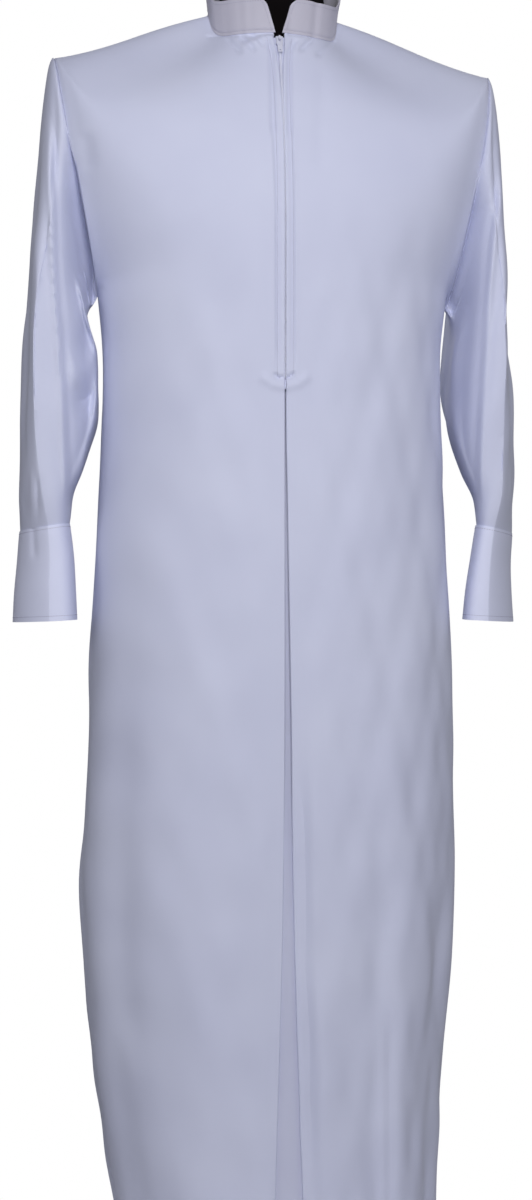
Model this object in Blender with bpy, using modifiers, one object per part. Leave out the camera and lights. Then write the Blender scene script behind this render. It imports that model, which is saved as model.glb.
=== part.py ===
"""A white alb, buttonless and closed by a front zip, worn by a limbless dress form on a stand.

Run it with blender --background --python part.py, or from Blender's text editor.
X is to the viewer's right, the front faces -Y and Z is up. The origin is the middle of the stand's
underside. Tables are in millimetres and degrees; MM turns millimetres into Blender's metres.
"Right" and "left" are the wearer's, so the right sleeve hangs at -X.
"""

import math
from collections import namedtuple

import bmesh
import bpy
import numpy as np
from mathutils import Matrix, Vector

MM = 0.001
RIGHT, LEFT = -1, 1
SIDE_NAMES = {RIGHT: "right", LEFT: "left"}

# Cloth walls and the gaps between cut pieces
CLOTH = 1.2
STIFFENED = 2.0
SEAM_GAP = 0.3
SLEEVE_SEAM_GAP = 0.4

# Heights that the tables share
UNDERARM_Z = 1180
HEM_Z = 50
ZIP_TOP_Z = 1452
ZIP_END_Z = 1080
UNDERLAY_TOP_Z = 1074

# The shoulder seam runs from the neck to the shoulder point, dipping before it
NECK_HALF_WIDTH = 70
NECK_SIDE_Z = 1489
SHOULDER_HALF_WIDTH = 238
SHOULDER_Z = 1434
SHOULDER_Y = 3
SHOULDER_BULGE = 3
SHOULDER_DIP = 6

# The right shoulder rides higher, so that everything above a height is sheared by its x
LEAN, LEAN_FROM, LEAN_WHOLE = 0.018, 1000, 1400

# The armhole is a tilted oval from the shoulder point to the underarm
UNDERARM_HALF_WIDTH = 191
ARMHOLE_DEPTH = 68
ARMHOLE_TURN = 28
ARMHOLE_STEEP = 0.75

# A sleeve keeps the armhole's shape over its first loops. Below them the inner side of its front
# turns to face forwards, and its back ridge swings the other way from the front one, by less.
SLEEVE_HEAD_LOOPS = 3
FACING_ACROSS, FACING_FORWARD = 0.75, 0.5
BACK_SWING = 0.4

# Further down the left sleeve turns, so that its front comes in and its back goes out
SLEEVE_SKEW = {RIGHT: 0, LEFT: -16}
SKEW_FROM, SKEW_LOOPS = 8, 5

# The edge of each front is folded under, round this radius
FOLD_RADIUS = 1.6
ZIP_ALLOWANCE = 12
PLEAT_RETURN = 34
UNDERLAY_HALF_WIDTH = 36
UNDERLAY_DEPTH = 4.1

# Samples along one quarter of a ring, close enough to measure lengths on
DENSE = 241

Ring = namedtuple("Ring", "place front_y front_z back_y back_z roundness rise")

# Rings over the shoulders. place is the share of the shoulder seam, from the neck.
YOKE = [
    Ring(0.00, -68, 1455, 64, 1502, 2.1, 4.0),
    Ring(0.10, -76, 1440, 76, 1493, 2.1, 3.5),
    Ring(0.32, -88, 1415, 95, 1472, 2.2, 2.8),
    Ring(0.62, -100, 1388, 109, 1447, 2.3, 2.2),
    Ring(1.00, -111, 1360, 119, 1416, 2.4, 2.0),
]

# Rings that end on the armhole. place is the angle down it, from the shoulder point.
CHEST = [
    Ring(24, -120, 1333, 124, 1384, 2.4, 1.9),
    Ring(48, -126, 1305, 127, 1348, 2.4, 1.8),
    Ring(73, -130, 1278, 128, 1312, 2.4, 1.8),
    Ring(98, -132, 1252, 128, 1277, 2.4, 1.8),
    Ring(124, -132.5, 1226, 127, 1241, 2.4, 1.8),
    Ring(151, -132.5, 1202, 126, 1208, 2.4, 1.8),
    Ring(180, -132, UNDERARM_Z, 125, UNDERARM_Z, 2.4, 1.8),
]

Level = namedtuple("Level", "z right left front_y back_y")

# Level rings of the skirt, with its half widths on the wearer's right and left
SKIRT = [
    Level(1125, 186, 184, -131, 124),
    Level(1050, 186, 184.5, -131, 124),
    Level(960, 190.5, 189, -132, 125),
    Level(870, 194.5, 193, -133, 126),
    Level(780, 201, 197, -134, 128),
    Level(700, 199.7, 199, -135, 130),
    Level(625, 203, 201, -136, 132),
    Level(545, 211.5, 201.5, -138, 134),
    Level(470, 207.5, 199, -139, 136),
    Level(395, 201, 191.5, -141, 138),
    Level(320, 192.5, 183.5, -143, 140),
    Level(250, 181, 181.5, -145, 142),
    Level(185, 166, 178.5, -146, 144),
    Level(115, 161, 177, -148, 146),
    Level(HEM_Z, 159, 176, -150, 148),
]

Gap = namedtuple("Gap", "z right left")

# From the centre to each front's edge: over the zip, then down the inverted pleat
FRONT_GAP = [
    Gap(HEM_Z, 17, 22),
    Gap(235, 11.5, 16.5),
    Gap(525, 3, 9),
    Gap(745, 0.7, 5.4),
    Gap(950, 0.6, 2.0),
    Gap(1050, 0.6, 0.6),
    Gap(1075, 0.6, 0.6),
    Gap(1200, 0.6, 0.6),
    Gap(1330, 0.6, 0.6),
    Gap(1380, 1.0, 1.0),
    Gap(1410, 2.0, 2.0),
    Gap(1430, 3.8, 3.8),
    Gap(1440, 4.8, 4.8),
    Gap(1455, 6.0, 6.0),
]

Fold = namedtuple("Fold", "name girth width depth top_z full_z")

# Soft folds of the skirt. girth is 0 at the centre front, 1 at a side seam and 2 at the centre
# back, negative on the wearer's right; a positive depth stands out.
FOLDS = [
    Fold("pleat edge, left", 0.04, 0.055, -3.0, 1000, 300),
    Fold("roll beside the pleat", 0.17, 0.07, 3.0, 1000, 300),
    Fold("trough, left front", 0.36, 0.05, -3.5, 900, 250),
    Fold("ridge, left front", 0.46, 0.06, 4.0, 900, 250),
    Fold("trough, left side front", 0.70, 0.09, -7.0, 950, 350),
    Fold("pleat edge, right", -0.035, 0.04, -1.5, 900, 300),
    Fold("ridge, right front", -0.32, 0.12, 4.0, 950, 350),
    Fold("trough, right front", -0.64, 0.10, -7.0, 1000, 400),
    Fold("ridge, right side back", -1.22, 0.09, 12.0, 1050, 250),
    Fold("trough, right back", -1.40, 0.08, -14.0, 1100, 250),
    Fold("ridge, right back", -1.58, 0.08, 15.0, 1150, 300),
    Fold("trough, centre right back", -1.77, 0.08, -13.0, 1100, 300),
    Fold("ridge, centre back", 1.97, 0.09, 13.0, 1150, 250),
    Fold("trough, centre left back", 1.75, 0.09, -14.0, 1100, 300),
    Fold("ridge, left back", 1.55, 0.08, 14.0, 1150, 300),
    Fold("trough, left side back", 1.36, 0.08, -13.0, 1100, 250),
    Fold("ridge, left side", 1.19, 0.08, 10.0, 1000, 250),
]

Loop = namedtuple(
    "Loop", "out_z in_z out_right in_right out_left in_left middle_y deep crease swing_right swing_left"
)

# Rings of a sleeve from the armhole to the cuff seam. out and in are its outer and inner edges,
# deep is half its depth, crease presses it to a ridge at the front, with its inner side turned to
# face forwards, and the swings move that ridge outwards from the middle.
SLEEVE = [
    Loop(1434, 1180, 238, 191, 238, 191, 3, 68, 0.00, 0, 0),
    Loop(1434, 1176, 240.5, 193, 240, 193, 3, 71, 0.00, 0, 0),
    Loop(1423, 1171, 244.5, 196, 243.5, 196, 3, 74, 0.00, 0, 0),
    Loop(1397, 1165, 248.5, 200, 247.5, 200, 4, 76, 0.05, 5, 2),
    Loop(1361, 1155, 252.5, 202, 250.5, 202, 5, 78, 0.10, 10, 6),
    Loop(1320, 1141, 256, 198, 252, 202, 6, 80, 0.15, 17, 10),
    Loop(1274, 1123, 261, 191.5, 253.5, 200, 8, 82, 0.20, 24, 14),
    Loop(1226, 1104, 264.5, 190, 254, 198, 9, 84, 0.25, 29, 18),
    Loop(1180, 1084, 267, 190, 255, 197, 10, 86, 0.30, 31, 17),
    Loop(1136, 1062, 270, 190, 260, 197, 10, 87, 0.35, 30, 17),
    Loop(1094, 1040, 273, 192, 267, 199, 9, 87, 0.40, 27, 15),
    Loop(1052, 1016, 275, 199, 270.5, 204, 8, 85, 0.45, 21, 15),
    Loop(1012, 990, 276, 208, 271, 213, 6, 82, 0.50, 13, 14),
    Loop(972, 962, 276, 218, 271, 226, 4, 78, 0.55, 4, 8),
    Loop(924, 932, 275, 221, 269.5, 229, 3, 72, 0.60, -4, 0),
]

# Rings of a cuff from its seam to its hem
CUFF = [
    Loop(923.5, 931.5, 276, 220.5, 270, 227.5, 3, 73, 0.60, -4, 0),
    Loop(890, 897, 278.5, 216.5, 268, 222, 3, 73, 0.65, -5, 0),
    Loop(857, 862, 281.5, 214.5, 269, 216.5, 3, 74, 0.70, -5, 0),
    Loop(826, 829, 283, 213, 271, 213, 3, 75, 0.75, -5, 0),
]

SleeveFold = namedtuple(
    "SleeveFold", "name top_angle middle_angle low_angle width depth from_loop to_loop"
)

# Long folds of a sleeve. Angles run round the ring: 0 outside, 90 front, 180 inside, 270 back.
SLEEVE_FOLDS = [
    SleeveFold("front trough", 41, 106, 124, 12, -7.0, 1, 13),
    SleeveFold("outer trough", 30, 34, 38, 12, -3.0, 4, 13),
    SleeveFold("back trough", 285, 274, 262, 15, -6.0, 2, 12),
    SleeveFold("back ridge", 250, 238, 225, 16, 4.0, 3, 11),
]

# The stand collar: it flares a little, and its front ends slant apart to rounded corners
COLLAR_HEIGHT = 36
COLLAR_FLARE = 5
COLLAR_STEP = 0.8
COLLAR_GAP = 0.4
COLLAR_EDGE = 3.7
COLLAR_SLANT = 10.5
COLLAR_CORNER = 9
COLLAR_ROWS = [0.0, 0.3, 0.55, 0.75, 0.85, 0.94, 0.985, 1.0]

# The zip
TAPE_HALF_WIDTH, TAPE_THICK, TAPE_DEPTH = 13, 0.8, 4.8
CHAIN_HALF_WIDTH, CHAIN_THICK, CHAIN_DEPTH = 2.2, 0.9, 3.6
ZIP_STEPS = 24
SLIDER_WIDTH, SLIDER_THICK, SLIDER_HEIGHT = 7.6, 5.0, 10.5
SLIDER_Z = 1446.5
SLIDER_BEHIND = 4.4
BAIL_WIDTH, BAIL_OUT, BAIL_BELOW, BAIL_ABOVE, BAIL_BAR = 1.8, 3.3, 2.7, 2.3, 0.9
TUNNEL_OUT, TUNNEL_HALF = 1.2, 1.35
PULL_WIDTH, PULL_TIP_WIDTH, PULL_LENGTH, PULL_THICK = 6.4, 4.6, 19.0, 1.1
PULL_BAR_RADIUS = 0.65
PULL_WINDOW_HALF, PULL_WINDOW = 1.4, 6.5
PULL_HOLE_RADIUS, PULL_HOLE_RISE = 0.9, 2.6

FormRing = namedtuple("FormRing", "front_y front_z side side_z back_y back_z roundness rise")

# The dress form, from the top of its neck to its lower edge; the shoulders carry the cloth
FORM = [
    FormRing(-30, 1563, 31, 1563, 29, 1563, 2.0, 2),
    FormRing(-50, 1559, 52, 1559, 48, 1559, 2.0, 2),
    FormRing(-55, 1548, 57, 1548, 53, 1548, 2.0, 2),
    FormRing(-55, 1500, 57, 1514, 53, 1528, 2.0, 2),
    FormRing(-57, 1462, 60, 1489.3, 54, 1503, 2.0, 4.0),
    FormRing(-68, 1436, 86.5, 1482.2, 71, 1488, 2.1, 3.5),
    FormRing(-79, 1411, 122.6, 1470.0, 89, 1467, 2.2, 2.8),
    FormRing(-91, 1384, 172, 1450.0, 103, 1442, 2.3, 2.2),
    FormRing(-99, 1360, 203, 1437.6, 111, 1417, 2.4, 2.0),
    FormRing(-106, 1338, 215, 1422, 116, 1390, 2.4, 1.9),
    FormRing(-112, 1310, 217, 1388, 119, 1358, 2.4, 1.8),
    FormRing(-117, 1280, 209, 1340, 120, 1318, 2.4, 1.8),
    FormRing(-118, 1245, 195, 1282, 119, 1270, 2.4, 1.8),
    FormRing(-115, 1205, 179, 1222, 115, 1218, 2.4, 1.8),
    FormRing(-110, 1150, 162, 1156, 109, 1155, 2.4, 1.8),
    FormRing(-103, 1085, 149, 1086, 101, 1086, 2.3, 1.8),
    FormRing(-100, 1020, 145, 1020, 98, 1020, 2.3, 1.8),
    FormRing(-104, 955, 152, 955, 102, 955, 2.3, 1.8),
    FormRing(-111, 885, 164, 885, 110, 885, 2.3, 1.8),
    FormRing(-115, 815, 171, 815, 115, 815, 2.3, 1.8),
    FormRing(-112, 755, 167, 755, 113, 755, 2.3, 1.8),
    FormRing(-104, 738, 157, 738, 104, 738, 2.3, 1.8),
]
FORM_SIDES = 32

# The stand
BASE_RADIUS, BASE_THICK, BASE_CHAMFER = 160, 9, 3
HUB_RADIUS, HUB_TOP = 32, 34
POLE_RADIUS = 16
TURNED_SIDES = 48

# How finely the walls are cut
FACE_COLUMNS = 12
BACK_COLUMNS = 11
SLEEVE_SIDES = 24
FOLD_STEPS = 3

Finish = namedtuple("Finish", "colour roughness metallic")
FINISHES = {
    "alb_cloth": Finish((0.66, 0.68, 0.86, 1), 0.75, 0.0),
    "alb_collar_cloth": Finish((0.64, 0.65, 0.80, 1), 0.7, 0.0),
    "zip_tape": Finish((0.62, 0.64, 0.80, 1), 0.8, 0.0),
    "zip_enamel": Finish((0.70, 0.70, 0.84, 1), 0.35, 0.0),
    "form_jersey": Finish((0.012, 0.011, 0.012, 1), 0.8, 0.0),
    "stand_steel": Finish((0.02, 0.02, 0.022, 1), 0.4, 0.6),
}


def read_between(places, values, at):
    """Values of a table read between its rows, on a smooth curve through them."""
    places, values = np.asarray(places, float), np.asarray(values, float)
    slopes = np.gradient(values, places)
    at = np.asarray(at, float)
    i = np.clip(np.searchsorted(places, at, side="right") - 1, 0, len(places) - 2)
    step = places[i + 1] - places[i]
    t = np.clip((at - places[i]) / step, 0, 1)
    rising = values[i] * (1 + 2 * t) * (1 - t) ** 2 + step * slopes[i] * t * (1 - t) ** 2
    falling = values[i + 1] * t**2 * (3 - 2 * t) + step * slopes[i + 1] * t**2 * (t - 1)
    return rising + falling


def ease(t):
    t = np.clip(t, 0, 1)
    return t * t * (3 - 2 * t)


def shoulder_seam(share):
    """A point of the shoulder seam, at a share of its length from the neck."""
    x = NECK_HALF_WIDTH + (SHOULDER_HALF_WIDTH - NECK_HALF_WIDTH) * share
    z = NECK_SIDE_Z + (SHOULDER_Z - NECK_SIDE_Z) * share
    z += SHOULDER_BULGE * math.sin(math.pi * share) - SHOULDER_DIP * math.sin(math.pi * share**2)
    return x, SHOULDER_Y * share, z


def armhole(angle):
    """A point of the armhole, at an angle from the shoulder point; positive angles are in front."""
    turn = math.radians(angle)
    middle_x = (SHOULDER_HALF_WIDTH + UNDERARM_HALF_WIDTH) / 2
    middle_z = (SHOULDER_Z + UNDERARM_Z) / 2
    x = middle_x + (SHOULDER_HALF_WIDTH - middle_x) * steep(math.cos(turn))
    z = middle_z + (SHOULDER_Z - middle_z) * math.cos(turn)
    return x, SHOULDER_Y - ARMHOLE_DEPTH * math.sin(turn), z


def steep(share):
    """The upper half of an armhole runs steeper than an oval's."""
    return share**ARMHOLE_STEEP if share > 0 else share


def lean(points):
    """Points with the shear that lifts the right shoulder and drops the left one."""
    leaning = np.array(points, float)
    share = ease((leaning[..., 2] - LEAN_FROM) / (LEAN_WHOLE - LEAN_FROM))
    leaning[..., 2] -= LEAN * leaning[..., 0] * share
    return leaning


def all_rings():
    """The rows of the three tables as one list of rings, and where each zone of it ends."""
    level_rings = [Ring(row.z, row.front_y, row.z, row.back_y, row.z, 2.4, 1.8) for row in SKIRT]
    return YOKE + CHEST + level_rings


RINGS = all_rings()
POINT_ROW = len(YOKE) - 1
UNDERARM_ROW = POINT_ROW + len(CHEST)
HEM_ROW = len(RINGS) - 1


def ring_value(column, row):
    numbers = np.arange(len(RINGS))
    return float(read_between(numbers, [getattr(ring, column) for ring in RINGS], row))


def half_width(side, z):
    levels = SKIRT[::-1]
    places = [level.z for level in levels] + [UNDERARM_Z]
    widths = [getattr(level, SIDE_NAMES[side]) for level in levels] + [UNDERARM_HALF_WIDTH]
    return float(read_between(places, widths, z))


def edge_of_ring(side, front, row):
    """Where a quarter ring ends, and the angle that it has turned through there."""
    if row <= POINT_ROW:
        share = float(read_between(range(len(YOKE)), [ring.place for ring in YOKE], row))
        return shoulder_seam(share), 90.0
    if row <= UNDERARM_ROW:
        angles = [0] + [ring.place for ring in CHEST]
        places = range(POINT_ROW, UNDERARM_ROW + 1)
        angle = float(read_between(places, angles, row))
        turned = 90.0 - ARMHOLE_TURN * math.sin(math.radians(angle))
        return armhole(angle if front else -angle), turned
    z = ring_value("front_z", row)
    return (half_width(side, z), SHOULDER_Y, z), 90.0


def quarter_ring(side, front, row):
    """Points from the centre front or back to the side, evenly spaced, before any fold."""
    middle_y = ring_value("front_y" if front else "back_y", row)
    middle_z = ring_value("front_z" if front else "back_z", row)
    power = 2 / ring_value("roundness", row)
    rise = ring_value("rise", row)
    (edge_x, edge_y, edge_z), turned = edge_of_ring(side, front, row)
    share = np.linspace(0, 1, DENSE) ** 1.25
    angle = np.radians(turned) * share
    end = math.radians(turned)
    across = np.sin(angle) ** power / math.sin(end) ** power
    back = (1 - np.cos(angle) ** power) / (1 - max(math.cos(end), 0) ** power)
    points = np.stack(
        [
            side * edge_x * across,
            middle_y + (edge_y - middle_y) * back,
            middle_z + (edge_z - middle_z) * ease(share**rise),
        ],
        axis=1,
    )
    return evenly_spaced(points)


def evenly_spaced(points):
    steps = np.linalg.norm(np.diff(points, axis=0), axis=1)
    along = np.concatenate([[0], np.cumsum(steps)])
    wanted = np.linspace(0, along[-1], len(points))
    return np.stack([np.interp(wanted, along, points[:, i]) for i in range(3)], axis=1)


def normals_of(grid, sign, around=False):
    """Unit normals of a grid of points, on the side that sign picks."""
    if around:
        column_way = np.roll(grid, -1, axis=1) - np.roll(grid, 1, axis=1)
    else:
        column_way = np.gradient(grid, axis=1)
    row_way = np.gradient(grid, axis=0)
    normals = sign * np.cross(column_way, row_way)
    return normals / np.linalg.norm(normals, axis=2, keepdims=True)


def fold_height(girth, z):
    """How far the folds stand out of the plain skirt, at a girth and heights."""
    height = np.zeros(np.broadcast(girth, z).shape)
    for fold in FOLDS:
        away = np.abs(girth - fold.girth)
        away = np.minimum(away, 4 - away)
        strength = ease((fold.top_z - z) / (fold.top_z - fold.full_z))
        height += fold.depth * strength * np.exp(-((away / fold.width) ** 2))
    return height


class Quarter:
    """A quarter of the body's cloth: its outer surface as a dense grid, with lengths along rows."""

    def __init__(self, side, front, rows):
        plain = np.array([quarter_ring(side, front, row) for row in rows])
        sign = -side if front else side
        share = np.linspace(0, 1, DENSE)
        girth = side * (share if front else 2 - share)
        height = fold_height(girth[None, :], plain[:, :, 2])
        plain_normals = normals_of(plain, sign)
        self.points = plain + height[:, :, None] * plain_normals
        self.normals = normals_of(self.points, sign)
        steps = np.linalg.norm(np.diff(self.points, axis=1), axis=2)
        self.along = np.concatenate([np.zeros((len(rows), 1)), np.cumsum(steps, axis=1)], axis=1)
        self.length = self.along[:, -1]

    def at(self, row, places, depths):
        """Points of one row at lengths from the centre, at depths behind the outer surface."""
        along = self.along[row]
        point = [np.interp(places, along, self.points[row, :, i]) for i in range(3)]
        normal = [np.interp(places, along, self.normals[row, :, i]) for i in range(3)]
        return np.stack(point, axis=1) - np.asarray(depths)[:, None] * np.stack(normal, axis=1)


def front_gap(side, z):
    gaps = [getattr(gap, SIDE_NAMES[side]) for gap in FRONT_GAP]
    return float(read_between([gap.z for gap in FRONT_GAP], gaps, z))


def front_path(side, length, z, inner):
    """One front's cross-section from the end of its turned-under edge to the side seam.

    It gives lengths from the centre front and depths behind the outer surface, for the outer
    face of the cloth or for its inner face.
    """
    bend = front_gap(side, z) + FOLD_RADIUS
    share = ease((z - UNDERLAY_TOP_Z + 20) / 40)
    under = PLEAT_RETURN + (ZIP_ALLOWANCE - PLEAT_RETURN) * share
    radius = FOLD_RADIUS - CLOTH if inner else FOLD_RADIUS
    turned = np.radians(np.linspace(180, 0, FOLD_STEPS + 1))
    places = [bend + under, bend + under / 2]
    depths = [FOLD_RADIUS + radius] * 2
    places += list(bend - radius * np.sin(turned))
    depths += list(FOLD_RADIUS - radius * np.cos(turned))
    face = np.linspace(bend, length - SEAM_GAP / 2, FACE_COLUMNS + 1)[1:]
    places += list(face)
    depths += [FOLD_RADIUS - radius] * len(face)
    return np.array(places), np.array(depths)


def material(name):
    made = bpy.data.materials.get(name)
    if made:
        return made
    made = bpy.data.materials.new(name)
    made.use_nodes = True
    shader = made.node_tree.nodes["Principled BSDF"]
    finish = FINISHES[name]
    shader.inputs["Base Color"].default_value = finish.colour
    shader.inputs["Roughness"].default_value = finish.roughness
    shader.inputs["Metallic"].default_value = finish.metallic
    made.diffuse_color = finish.colour
    return made


def add_object(name, mesh, finish, parent, smooth_below=40):
    thing = bpy.data.objects.new(name, mesh)
    bpy.data.collections["alb"].objects.link(thing)
    mesh.materials.append(material(finish))
    mesh.shade_smooth()
    mesh.set_sharp_from_angle(angle=math.radians(smooth_below))
    thing.parent = parent
    return thing


def add_wall(name, outer, inner, finish, parent, around=False):
    """A closed wall between two grids of points in millimetres, open or joined round its columns."""
    outer, inner = lean(outer), lean(inner)
    rows, columns = outer.shape[:2]
    shape = bmesh.new()
    faces = [
        [[shape.verts.new(point * MM) for point in line] for line in grid] for grid in (outer, inner)
    ]
    spans = columns if around else columns - 1
    for row in range(rows - 1):
        for column in range(spans):
            beside = (column + 1) % columns
            for grid in faces:
                corners = [(row, column), (row, beside), (row + 1, beside), (row + 1, column)]
                shape.faces.new([grid[r][c] for r, c in corners])
    for row in (0, rows - 1):
        for column in range(spans):
            beside = (column + 1) % columns
            add_rim(shape, faces, (row, column), (row, beside))
    if not around:
        for column in (0, columns - 1):
            for row in range(rows - 1):
                add_rim(shape, faces, (row, column), (row + 1, column))
    bmesh.ops.recalc_face_normals(shape, faces=shape.faces)
    mesh = bpy.data.meshes.new(name)
    shape.to_mesh(mesh)
    shape.free()
    return add_object(name, mesh, finish, parent)


def add_rim(shape, faces, here, there):
    outer, inner = faces
    corners = [outer[here[0]][here[1]], outer[there[0]][there[1]]]
    corners += [inner[there[0]][there[1]], inner[here[0]][here[1]]]
    shape.faces.new(corners)


def add_fronts(quarters, rows, parent):
    """The two fronts. Each has its centre edge turned under, beside the zip and down the pleat."""
    for side in (RIGHT, LEFT):
        quarter = quarters[side, True]
        outer, inner = [], []
        for i in range(len(rows)):
            z = quarter.points[i, 0, 2]
            outer.append(quarter.at(i, *front_path(side, quarter.length[i], z, inner=False)))
            inner.append(quarter.at(i, *front_path(side, quarter.length[i], z, inner=True)))
        name = "front_" + SIDE_NAMES[side]
        add_wall(name, np.array(outer), np.array(inner), "alb_cloth", parent)


def add_back(quarters, rows, parent):
    grids = []
    for depth in (0, CLOTH):
        grid = []
        for i in range(len(rows)):
            halves = {}
            for side in (RIGHT, LEFT):
                quarter = quarters[side, False]
                places = np.linspace(0, quarter.length[i] - SEAM_GAP / 2, BACK_COLUMNS + 1)
                halves[side] = quarter.at(i, places, np.full(len(places), depth))
            grid.append(np.concatenate([halves[RIGHT][:0:-1], halves[LEFT]]))
        grids.append(np.array(grid))
    add_wall("back", *grids, "alb_cloth", parent)


def strip_behind(quarters, row_count, half_width_mm, depth, columns):
    """Rows of points behind both fronts, across the centre front."""
    grid = []
    places = np.linspace(0, half_width_mm, columns + 1)
    depths = np.full(len(places), depth)
    for i in range(row_count):
        right = quarters[RIGHT, True].at(i, places, depths)
        left = quarters[LEFT, True].at(i, places, depths)
        middle = (right[:1] + left[:1]) / 2
        grid.append(np.concatenate([right[:0:-1], middle, left[1:]]))
    return np.array(grid)


def add_strip(name, heights, half_width_mm, depth, thick, finish, parent, columns=2):
    """A flat strip of tape or cloth behind the fronts, with a row at each height."""
    numbers = np.arange(0, HEM_ROW + 0.01, 0.05)
    fronts = np.array([ring_value("front_z", row) for row in numbers])
    rows = np.interp(heights, fronts[::-1], numbers[::-1])
    quarters = {(side, True): Quarter(side, True, rows) for side in (RIGHT, LEFT)}
    grids = [
        strip_behind(quarters, len(rows), half_width_mm, d, columns) for d in (depth, depth + thick)
    ]
    add_wall(name, *grids, finish, parent)


def loop_value(table, column, place):
    numbers = np.arange(len(table))
    return float(read_between(numbers, [getattr(loop, column) for loop in table], place))


def tube_ring(table, side, place, angles):
    """Points round a sleeve or cuff, at a place between the rows of its table."""
    word = SIDE_NAMES[side]
    out_x, in_x = (loop_value(table, f"{end}_{word}", place) for end in ("out", "in"))
    out_z, in_z = (loop_value(table, f"{end}_z", place) for end in ("out", "in"))
    middle_y, deep, crease, swing = (
        loop_value(table, column, place)
        for column in ("middle_y", "deep", "crease", "swing_" + word)
    )
    turn = np.radians(angles)
    outside, front = np.cos(turn) > 0, np.sin(turn) > 0
    facing = crease * (front & ~outside)
    head = max(0.0, 1 - place / SLEEVE_HEAD_LOOPS) if table is SLEEVE else 0.0
    power = 1 + crease - np.where(outside, head * (1 - ARMHOLE_STEEP), 0)
    power = power - facing * (1 + FACING_ACROSS)
    across = np.sign(np.cos(turn)) * np.abs(np.cos(turn)) ** power
    forward = np.sign(np.sin(turn)) * np.abs(np.sin(turn)) ** (1 - facing * FACING_FORWARD)
    ridge = (out_x + in_x) / 2 + swing * np.where(front, 1, -BACK_SWING)
    x = ridge + np.where(outside, out_x - ridge, ridge - in_x) * across
    height = across if head == 0 else np.cos(turn)
    z = (out_z + in_z) / 2 + (out_z - in_z) / 2 * height
    skew = SLEEVE_SKEW[side] * (ease((place - SKEW_FROM) / SKEW_LOOPS) if table is SLEEVE else 1)
    x = x + skew * forward
    return np.stack([side * x, middle_y - deep * forward, z], axis=1)


def sleeve_fold_height(place, angles):
    height = np.zeros(len(angles))
    for fold in SLEEVE_FOLDS:
        share = (place - fold.from_loop) / (fold.to_loop - fold.from_loop)
        if 0 < share < 1:
            angles_down = (fold.top_angle, fold.middle_angle, fold.low_angle)
            angle = np.interp(share, (0, 0.5, 1), angles_down)
            away = (angles - angle + 180) % 360 - 180
            strength = ease(share * 4) * ease((1 - share) * 4)
            height += fold.depth * strength * np.exp(-((away / fold.width) ** 2))
    return height


def tube_grids(table, side, places, angles, thick, folded):
    plain = np.array([tube_ring(table, side, place, angles) for place in places])
    if folded:
        height = np.array([sleeve_fold_height(place, angles) for place in places])
        plain = plain + height[:, :, None] * normals_of(plain, side, around=True)
    return plain, plain - thick * normals_of(plain, side, around=True)


def add_sleeves(parent):
    angles = np.arange(SLEEVE_SIDES) * 360 / SLEEVE_SIDES
    for side in (RIGHT, LEFT):
        places = np.arange(len(SLEEVE), dtype=float)
        outer, inner = tube_grids(SLEEVE, side, places, angles, CLOTH, folded=True)
        for grid in (outer, inner):
            grid[:, :, 0] += side * SLEEVE_SEAM_GAP
        name = "sleeve_" + SIDE_NAMES[side]
        add_wall(name, outer, inner, "alb_cloth", parent, around=True)
        places = np.arange(len(CUFF), dtype=float)
        outer, inner = tube_grids(CUFF, side, places, angles, STIFFENED, folded=False)
        for grid in (outer, inner):
            grid[:, :, 0] += side * SLEEVE_SEAM_GAP
            grid[:, :, 2] -= SLEEVE_SEAM_GAP
        name = "cuff_" + SIDE_NAMES[side]
        add_wall(name, outer, inner, "alb_cloth", parent, around=True)


def collar_edge(rise):
    """How far a collar end stands back from the centre front, at a share of its height."""
    turned = max(0.0, 1 - (1 - rise) * COLLAR_HEIGHT / COLLAR_CORNER)
    corner = COLLAR_CORNER * (1 - math.sqrt(1 - turned**2))
    return COLLAR_EDGE + COLLAR_SLANT * rise + corner


def collar_places(side, front, back, edge):
    """Lengths along half the neck seam, over the body's own columns where the collar is whole."""
    bend = front_gap(side, front.points[0, 0, 2]) + FOLD_RADIUS
    face = np.linspace(bend, front.length[0] - SEAM_GAP / 2, FACE_COLUMNS + 1)
    behind = np.linspace(back.length[0] - SEAM_GAP / 2, 0, BACK_COLUMNS + 1)[1:]
    total = front.length[0] + back.length[0]
    places = np.concatenate([[COLLAR_EDGE], face, total - behind])
    return edge + (places - COLLAR_EDGE) * (total - edge) / (total - COLLAR_EDGE)


def add_collar(parent):
    """A stiffened band round the neck seam, standing up and open at the centre front."""
    rows = [0.0, 0.02]
    quarters = {
        (side, front): Quarter(side, front, rows) for side in (RIGHT, LEFT) for front in (True, False)
    }
    grids = []
    for inward in (0, STIFFENED):
        grid = []
        for rise in COLLAR_ROWS[::-1]:
            halves = {}
            for side in (RIGHT, LEFT):
                front, back = quarters[side, True], quarters[side, False]
                total = front.length[0] + back.length[0]
                places = collar_places(side, front, back, collar_edge(rise))
                whole = np.concatenate([front.points[0], back.points[0][-2::-1]])
                along = np.concatenate([front.along[0], total - back.along[0][-2::-1]])
                seam = np.stack([np.interp(places, along, whole[:, k]) for k in range(3)], axis=1)
                halves[side] = stand_up(seam, rise, inward)
            grid.append(np.concatenate([halves[RIGHT][:-1], halves[LEFT][::-1]]))
        grids.append(np.array(grid))
    add_wall("collar", *grids, "alb_collar_cloth", parent)


def stand_up(seam, rise, inward):
    """Points of the neck seam moved up the collar, out with its flare and in by a depth."""
    away = seam * [1, 1, 0]
    away = away / np.linalg.norm(away, axis=1, keepdims=True)
    out = COLLAR_STEP + COLLAR_FLARE * rise - inward
    return seam + away * out + [0, 0, COLLAR_GAP + COLLAR_HEIGHT * rise]


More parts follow.
